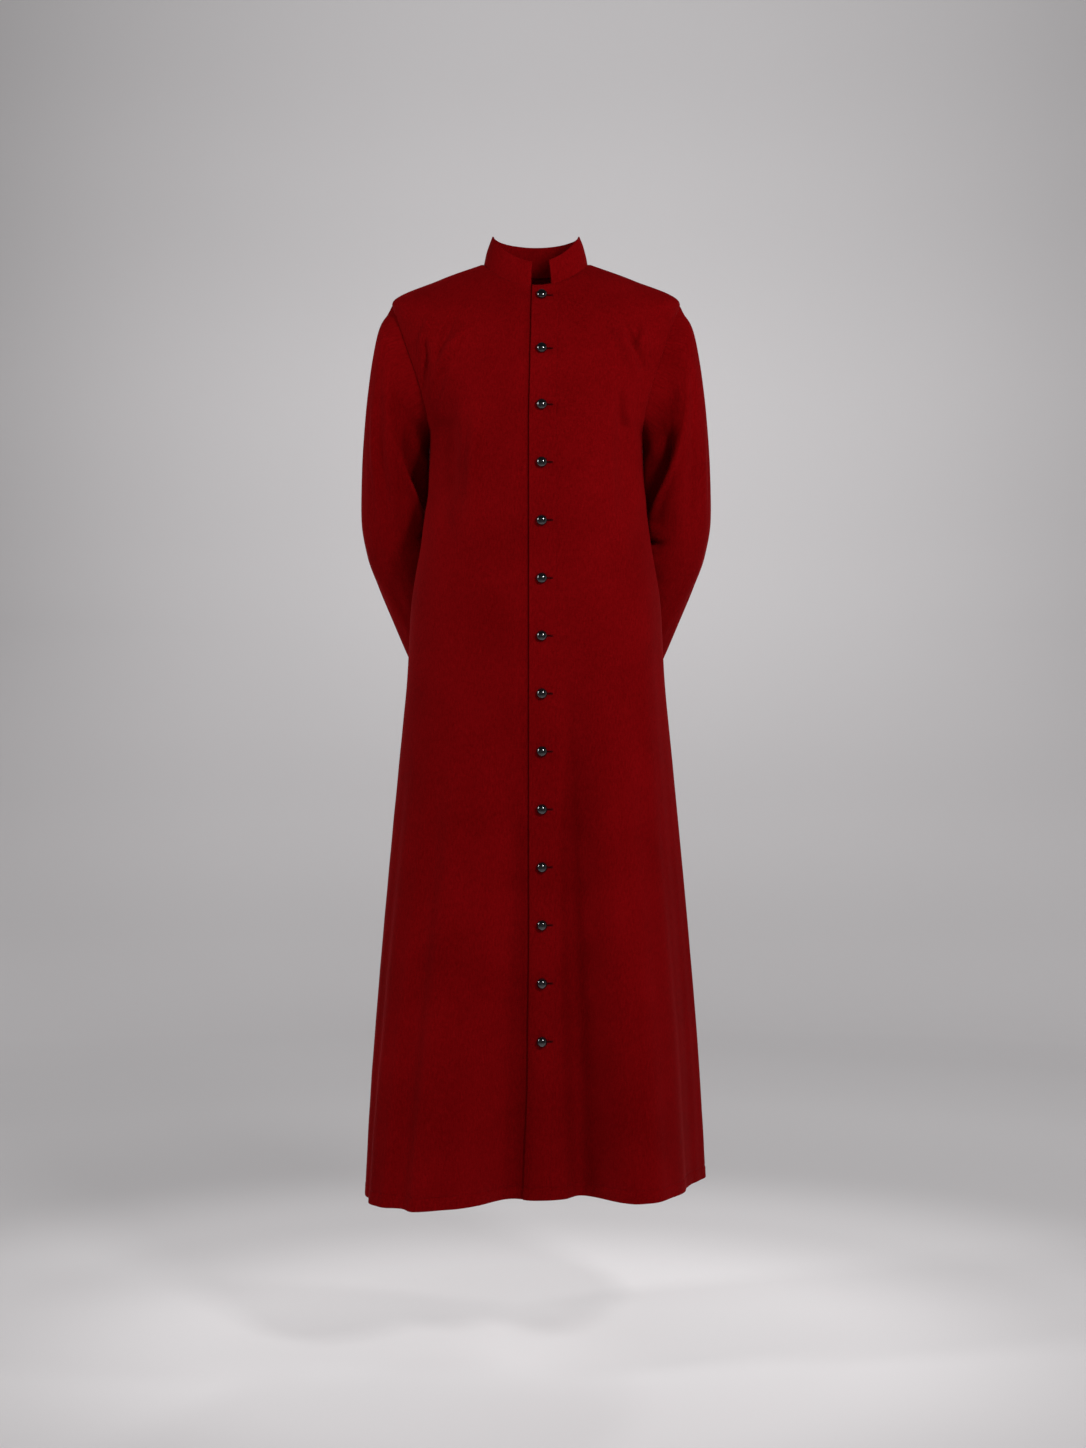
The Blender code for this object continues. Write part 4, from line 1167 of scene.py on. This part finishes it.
def spin_outline(outline, sides, merge_within):
    """Spins an outline, given as (radius, height), all round the upright axis and closes its poles."""
    mesh = bmesh.new()
    corners = [mesh.verts.new((radius, 0.0, height)) for radius, height in outline]
    edges = [mesh.edges.new(pair) for pair in zip(corners[:-1], corners[1:])]
    bmesh.ops.spin(
        mesh, geom=corners + edges, cent=(0, 0, 0), axis=(0, 0, 1),
        angle=2 * math.pi, steps=sides, use_merge=True,
    )
    bmesh.ops.remove_doubles(mesh, verts=mesh.verts, dist=merge_within)
    bmesh.ops.recalc_face_normals(mesh, faces=mesh.faces)
    return mesh


def turn_button(name, x, z):
    """One button, spun upright, then stood square on the cloth. Its shank is thread and the rest plastic."""
    mesh = spin_outline(button_outline(), BUTTON_SIDES, 1e-6)
    for face in mesh.faces:
        face.material_index = 1 if face.calc_center_median().z < 0.99 * SHANK_LENGTH else 0
    at, out = seat_of(x, z)
    stand = Matrix.Translation(at + out * SEAM_GAP) @ out.to_track_quat("Z", "Y").to_matrix().to_4x4()
    bmesh.ops.transform(mesh, matrix=stand, verts=mesh.verts)
    return finish_mesh(name, mesh, black_plastic, red_thread)


buttons = [
    turn_button(f"button_{i + 1:02d}_polished", CENTRE_FRONT_X, z) for i, z in enumerate(BUTTON_ZS)
]
print("buttons:", len(buttons), "of", len(buttons[0].data.polygons), "faces")

# %% [markdown]
# ## The buttonholes
#
# A worked buttonhole is a slit edged with close stitches that stand up as a low cord. The button pulls to
# the end nearest the lap's edge, so the other end shows beside it. The slit itself is a flat dark lens of
# painted shade.

# %% Work the buttonholes
HOLE_FROM, HOLE_TO = -0.0040, 0.0148
HOLE_HALF_WIDTH = 0.00115
CORD_RADIUS = 0.00055
CORD_STEPS = 96


def ring_mesh(mesh, rings):
    """Adds a ring of rings, a closed cord, to a mesh."""
    count, sides = rings.shape[:2]
    closed = np.concatenate([rings, rings[:1]])
    closed = np.concatenate([closed, closed[:, :1]], axis=1).reshape(-1, 3)
    made = bmesh.ops.create_grid(mesh, x_segments=sides, y_segments=count, size=1)["verts"]
    for vert, co in zip(made, closed):
        vert.co = co
    bmesh.ops.remove_doubles(mesh, verts=made, dist=1e-7)


def hole_path(x, z):
    """The slit's outline, two straight sides and two round ends, laid on the cloth."""
    straight = HOLE_TO - HOLE_FROM
    total = 2 * straight + 2 * math.pi * HOLE_HALF_WIDTH
    path, outs = [], []
    for s in np.linspace(0, total, CORD_STEPS, endpoint=False):
        if s < straight:
            dx, dz = HOLE_FROM + s, HOLE_HALF_WIDTH
        elif s < straight + math.pi * HOLE_HALF_WIDTH:
            a = (s - straight) / HOLE_HALF_WIDTH
            dx, dz = HOLE_TO + HOLE_HALF_WIDTH * math.sin(a), HOLE_HALF_WIDTH * math.cos(a)
        elif s < 2 * straight + math.pi * HOLE_HALF_WIDTH:
            dx, dz = HOLE_TO - (s - straight - math.pi * HOLE_HALF_WIDTH), -HOLE_HALF_WIDTH
        else:
            a = (s - 2 * straight - math.pi * HOLE_HALF_WIDTH) / HOLE_HALF_WIDTH
            dx, dz = HOLE_FROM - HOLE_HALF_WIDTH * math.sin(a), -HOLE_HALF_WIDTH * math.cos(a)
        at, out = seat_of(x + dx, z + dz)
        path.append(at)
        outs.append(out)
    return np.array(path), np.array(outs)


def work_buttonhole(edging, shade_lenses, x, z):
    """Adds one buttonhole: a closed cord of stitches round its slit, and a dark lens of painted shade inside
    it.
    """
    path, outs = hole_path(x, z)
    run = unit(np.roll(path, -1, axis=0) - np.roll(path, 1, axis=0))
    side = unit(np.cross(outs, run))
    radius = CORD_RADIUS * (1.0 + 0.16 * np.cos(math.pi * np.arange(CORD_STEPS)))[:, None, None]
    turns = np.linspace(0, 2 * math.pi, 6, endpoint=False)[None, :, None]
    centre = path + outs * 0.25 * CORD_RADIUS
    across = np.cos(turns) * side[:, None] + 0.75 * np.sin(turns) * outs[:, None]
    ring_mesh(edging, centre[:, None] + radius * across)
    # The slit is a thin dark lens on the cloth: painted shade, where the cut would show shadow.
    made = bmesh.ops.create_icosphere(shade_lenses, subdivisions=2, radius=1.0)["verts"]
    at, out = seat_of(x + (HOLE_FROM + HOLE_TO) / 2, z)
    shape = Matrix.Diagonal(((HOLE_TO - HOLE_FROM) / 2 + 0.0008, 0.85 * HOLE_HALF_WIDTH, 0.0003, 1.0))
    turn = out.to_track_quat("Z", "Y").to_matrix()
    turn = Matrix((turn.col[0], turn.col[1], turn.col[2])).transposed().to_4x4()
    level = Matrix.Rotation(math.atan2(turn.col[0].z, turn.col[1].z), 4, "Z")
    bmesh.ops.transform(shade_lenses, matrix=Matrix.Translation(at) @ turn @ level @ shape, verts=made)


edging, shade_lenses = bmesh.new(), bmesh.new()
for z in BUTTON_ZS:
    work_buttonhole(edging, shade_lenses, CENTRE_FRONT_X, z)
bmesh.ops.recalc_face_normals(edging, faces=edging.faces)
buttonholes = finish_mesh("buttonhole_edging", edging, red_thread)
slit_shade_lenses = finish_mesh("buttonhole_painted_slit_shade", shade_lenses, painted_slit_shade)
print("buttonholes:", len(buttonholes.data.polygons), "faces")

# %% [markdown]
# ## The stitches
#
# Small stitches hold up the hem and the cuffs, and a line of them runs down the facing. Each is a
# grain of thread half sunk into the cloth.

# %% Sew the stitches
STITCH_PITCH = 0.0034
STITCH_LENGTH, STITCH_WIDTH, STITCH_HEIGHT = 0.0021, 0.00042, 0.00030
FACING_FIRST_ROW = 6


def sew(name, path, outs):
    """Lays stitches end to end along a line of points on the cloth."""
    along = distances(path)
    at = np.arange(STITCH_PITCH, along[-1] - STITCH_PITCH / 2, STITCH_PITCH)
    places = read_along(at, along, path)
    out = unit(read_along(at, along, outs))
    run = unit(read_along(at, along, np.gradient(path, axis=0)))
    side = unit(np.cross(out, run))
    mesh = bmesh.new()
    half = (STITCH_LENGTH / 2, STITCH_WIDTH / 2, STITCH_HEIGHT / 2)
    for i in range(len(at)):
        columns = [Vector(v) * h for v, h in zip((run[i], side[i], out[i]), half)]
        turn = Matrix(columns).transposed().to_4x4()
        placed = Matrix.Translation(places[i]) @ turn
        bmesh.ops.create_icosphere(mesh, subdivisions=1, radius=1.0, matrix=placed)
    bmesh.ops.recalc_face_normals(mesh, faces=mesh.faces)
    stitches = finish_mesh(name, mesh, red_thread)
    print(f"{name}: {len(at)} stitches")
    return stitches


hem_row = int(np.argmin(np.abs(HEM_LEVEL - ROW_LEVELS - HEM_DEPTH)))
cuff_row = sleeve_left_points.shape[0] - 1 - len(CUFF_STEPS) + CUFF_STEPS.index(CUFF_DEPTH)
left_stitches = sew("front_left_hem_stitches", left_points[hem_row], left_normals[hem_row])
facing_line = (slice(FACING_FIRST_ROW, hem_row + 1), facing_column)
facing_stitches = sew("facing_stitches", left_points[facing_line], left_normals[facing_line])
right_stitches = sew("front_right_hem_stitches", right_points[hem_row], right_normals[hem_row])
back_stitches = sew("back_hem_stitches", back_points[hem_row], back_normals[hem_row])
cuff_left_stitches = sew("cuff_left_stitches", sleeve_left_points[cuff_row], sleeve_left_normals[cuff_row])
cuff_right_stitches = sew(
    "cuff_right_stitches", sleeve_right_points[cuff_row], sleeve_right_normals[cuff_row]
)

# %% [markdown]
# ## Ride on the body and replace the CAD walls
#
# Every piece rides on the one body and takes the place of its CAD wall, which is hidden. Each cloth piece
# also lists the flat cut that it was sewn from: the panel's width and length, and the area that is left of
# that rectangle once the shoulder, the armhole and the sleeve head are shaped. Its cut area is printed beside
# half its surface. They were measured on the CAD walls, but for the sleeves' lengths, which are estimates,
# and the collar's height, which was worked out from its area.

# %% Ride and replace
BODY = "root"
Cut = namedtuple("Cut", "cloth width length area sewing")
CUTS = {
    "front_left": Cut(
        front_left, 0.393, 1.430, 0.398, [left_stitches, facing_stitches, buttonholes, slit_shade_lenses]
    ),
    "front_right": Cut(front_right, 0.377, 1.430, 0.414, [right_stitches]),
    "back": Cut(back, 0.863, 1.421, 0.780, [back_stitches]),
    "top_sleeve_left": Cut(top_left, 0.242, 0.630, 0.124, [cuff_left_stitches]),
    "under_sleeve_left": Cut(under_left, 0.145, 0.560, 0.058, []),
    "top_sleeve_right": Cut(top_right, 0.242, 0.630, 0.124, [cuff_right_stitches]),
    "under_sleeve_right": Cut(under_right, 0.145, 0.560, 0.058, []),
    "collar": Cut(collar, 0.390, 0.047, 0.018, []),
}


def half_surface(obj):
    """One side of a closed shell."""
    return sum(face.area for face in obj.data.polygons) / 2


for node, cut in CUTS.items():
    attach(cut.cloth, BODY)
    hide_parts(node)
    for piece in cut.sewing:
        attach(piece, BODY)
    print(f"{node}: cut area {cut.area} m2, half its surface {half_surface(cut.cloth):.3f} m2")

for i, button in enumerate(buttons):
    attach(button, BODY)
    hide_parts(f"button_{i + 1:02d}")

# %% [markdown]
# ## The studio
#
# The coat hangs in a round studio of grey paper: a level floor that curves up into a wall on every side, so
# that it can be looked at from anywhere. One outline is spun about the upright axis to make it. The paper
# also gives off a little light of its own, as if it were lit from behind, which no lamp inside could do
# without lighting the coat. It glows round the coat, is darker where the floor bends up, and is weaker in
# front of the coat, or it would flatten the folds. Its grey is painted light and shade as well: lighter on
# the floor round the coat and darker further out, with painted shade on the wall to both sides of the coat.

# %% Roll out the paper
FLOOR_Z = -1.600
STUDIO_RADIUS = 4.4
STUDIO_BEND = 0.9
WALL_TOP_Z = 2.2
STUDIO_SIDES = 48
PAPER_TINT = (1.0, 0.975, 0.985)
PAPER_IN_SHADE = (0.20, 0.19, 0.195, 1.0)
SIDES_FROM_X, SIDES_GROWTH, SIDES_RISE = 0.15, 0.24, 0.8
GLOW_AT_COAT, GLOW_GROWTH = 0.9, 0.5
SIDE_SHADE = 0.45
FRONT_GLOW = 0.10
# Along the paper from the middle of the floor: a painted grey, lighter or darker as the light falls there,
# and the glow.
PaperTone = namedtuple("PaperTone", "along grey glow")
PAPER_TONES = [
    PaperTone(0.0, 0.66, 0.40),
    PaperTone(0.45, 0.66, 0.38),
    PaperTone(0.9, 0.60, 0.23),
    PaperTone(1.4, 0.50, 0.15),
    PaperTone(2.2, 0.46, 0.20),
    PaperTone(3.2, 0.46, 0.245),
    PaperTone(4.3, 0.46, 0.285),
    PaperTone(5.0, 0.48, 0.32),
    PaperTone(5.9, 0.50, 0.415),
    PaperTone(6.4, 0.50, 0.435),
    PaperTone(7.1, 0.49, 0.40),
    PaperTone(7.6, 0.48, 0.38),
    PaperTone(9.5, 0.46, 0.30),
]


def studio_outline():
    """The floor from its centre, the bend, and the wall, as (radius, z)."""
    bend = [
        (STUDIO_RADIUS - STUDIO_BEND * (1 - math.sin(a)), FLOOR_Z + STUDIO_BEND * (1 - math.cos(a)))
        for a in np.radians(np.linspace(0, 90, 10))
    ]
    return [(0.0, FLOOR_Z)] + bend + [(STUDIO_RADIUS, WALL_TOP_Z)]


def grey_paper():
    """The paper's grey is painted light and shade along its length and painted shade to both sides of the
    coat, and its glow fades the same way.
    """
    paper = Finish("paper")
    place = paper.node("ShaderNodeTexCoord", output=3)
    parts = paper.node("ShaderNodeSeparateXYZ", Vector=place).socket.node.outputs
    x, y, z = (Wire(paper.tree, part) for part in parts)
    along = (x * x + y * y).maths("SQRT") + (z - FLOOR_Z)
    longest = PAPER_TONES[-1].along

    def paint_falloff(painted_levels):
        tones = zip(PAPER_TONES, painted_levels)
        stops = [(tone.along / longest, [grey * c for c in PAPER_TINT] + [1.0]) for tone, grey in tones]
        return paper.node("ShaderNodeValToRGB", {"stops": stops}, Fac=along / longest)

    black = (0.0, 0.0, 0.0, 1.0)
    on_wall = ((z - FLOOR_Z) * SIDES_RISE).maths("MINIMUM", 1.0).maths("MAXIMUM", 0.0)
    aside = ((x - SIDES_FROM_X) * (x - SIDES_FROM_X) * SIDES_GROWTH).maths("MINIMUM", 1.0) * on_wall
    behind = (y * GLOW_GROWTH + GLOW_AT_COAT).maths("MINIMUM", 1.0).maths("MAXIMUM", FRONT_GLOW)
    grain = paper.node("ShaderNodeTexNoise", Vector=place, Scale=0.9, Detail=2.0)
    # Painted shade on the wall to both sides of the coat, with a faint random grain of the paper.
    shade = (aside * SIDE_SHADE + grain * 0.04).maths("MINIMUM", 1.0)
    glow = paper.mix(shade, paint_falloff([tone.glow for tone in PAPER_TONES]), black)
    paper.set(
        Base_Color=paper.mix(shade, paint_falloff([tone.grey for tone in PAPER_TONES]), PAPER_IN_SHADE),
        Roughness=0.85 + grain * 0.05,
        Specular_IOR_Level=0.2,
        Emission_Color=paper.mix(behind, black, glow),
        Emission_Strength=1.0,
    )
    return paper.material


studio = finish_mesh("studio", spin_outline(studio_outline(), STUDIO_SIDES, 1e-5), grey_paper())
print("floor at z =", FLOOR_Z)

# %% [markdown]
# ## The lights
#
# A soft key stands a little to the right of the camera, and a tall strip stands on each side of the coat, so
# every fold has a light and a dark flank. The key and the left strip put two small window lights on each
# button. The other lamps only lift the shadows and light the back, so they are kept out of the reflections.

# %% Set the lights
Lamp = namedtuple("Lamp", "name x y z aim_x aim_y aim_z width height watts glints")
LAMPS = [
    Lamp("right key", 0.98, -1.80, 0.28, 0.0, 0.0, -0.10, 0.34, 0.44, 22.5, True),
    Lamp("left strip", -2.00, -0.70, 0.26, 0.0, 0.0, -0.15, 0.36, 1.00, 17.5, True),
    Lamp("right strip", 2.05, -0.45, 0.26, 0.0, 0.0, -0.15, 0.36, 1.00, 12.0, False),
    Lamp("front fill", -0.45, -2.30, 0.20, 0.0, 0.0, -0.10, 1.20, 1.20, 3.0, False),
    Lamp("low fill", 0.0, -2.60, -0.40, 0.0, 0.0, -0.30, 0.80, 0.80, 1.0, False),
    Lamp("floor wash", 0.0, -2.4, 1.9, 0.0, -1.4, -1.6, 2.40, 0.50, 4.5, False),
    Lamp("back key", 1.05, 2.40, 0.35, 0.0, 0.0, -0.15, 0.40, 0.80, 15.0, False),
    Lamp("back fill", -1.20, 2.50, 0.10, 0.0, 0.0, -0.20, 0.90, 0.90, 5.0, False),
]
for lamp in LAMPS:
    data = bpy.data.lights.new(lamp.name, type="AREA")
    data.shape = "RECTANGLE"
    data.size, data.size_y = lamp.width, lamp.height
    data.energy = lamp.watts
    light = bpy.data.objects.new(lamp.name, data)
    light.location = (lamp.x, lamp.y, lamp.z)
    aim = Vector((lamp.aim_x, lamp.aim_y, lamp.aim_z)) - light.location
    light.rotation_euler = aim.to_track_quat("-Z", "Y").to_euler()
    light.visible_camera = False
    light.visible_glossy = lamp.glints
    bpy.context.scene.collection.objects.link(light)

SKY_COLOUR, SKY_STRENGTH = (0.92, 0.93, 1.0, 1.0), 0.03
world = bpy.data.worlds.new("grey sky")
world.use_nodes = True
sky = world.node_tree.nodes["Background"]
sky.inputs["Color"].default_value, sky.inputs["Strength"].default_value = SKY_COLOUR, SKY_STRENGTH
bpy.context.scene.world = world
print("lamps:", len(LAMPS))
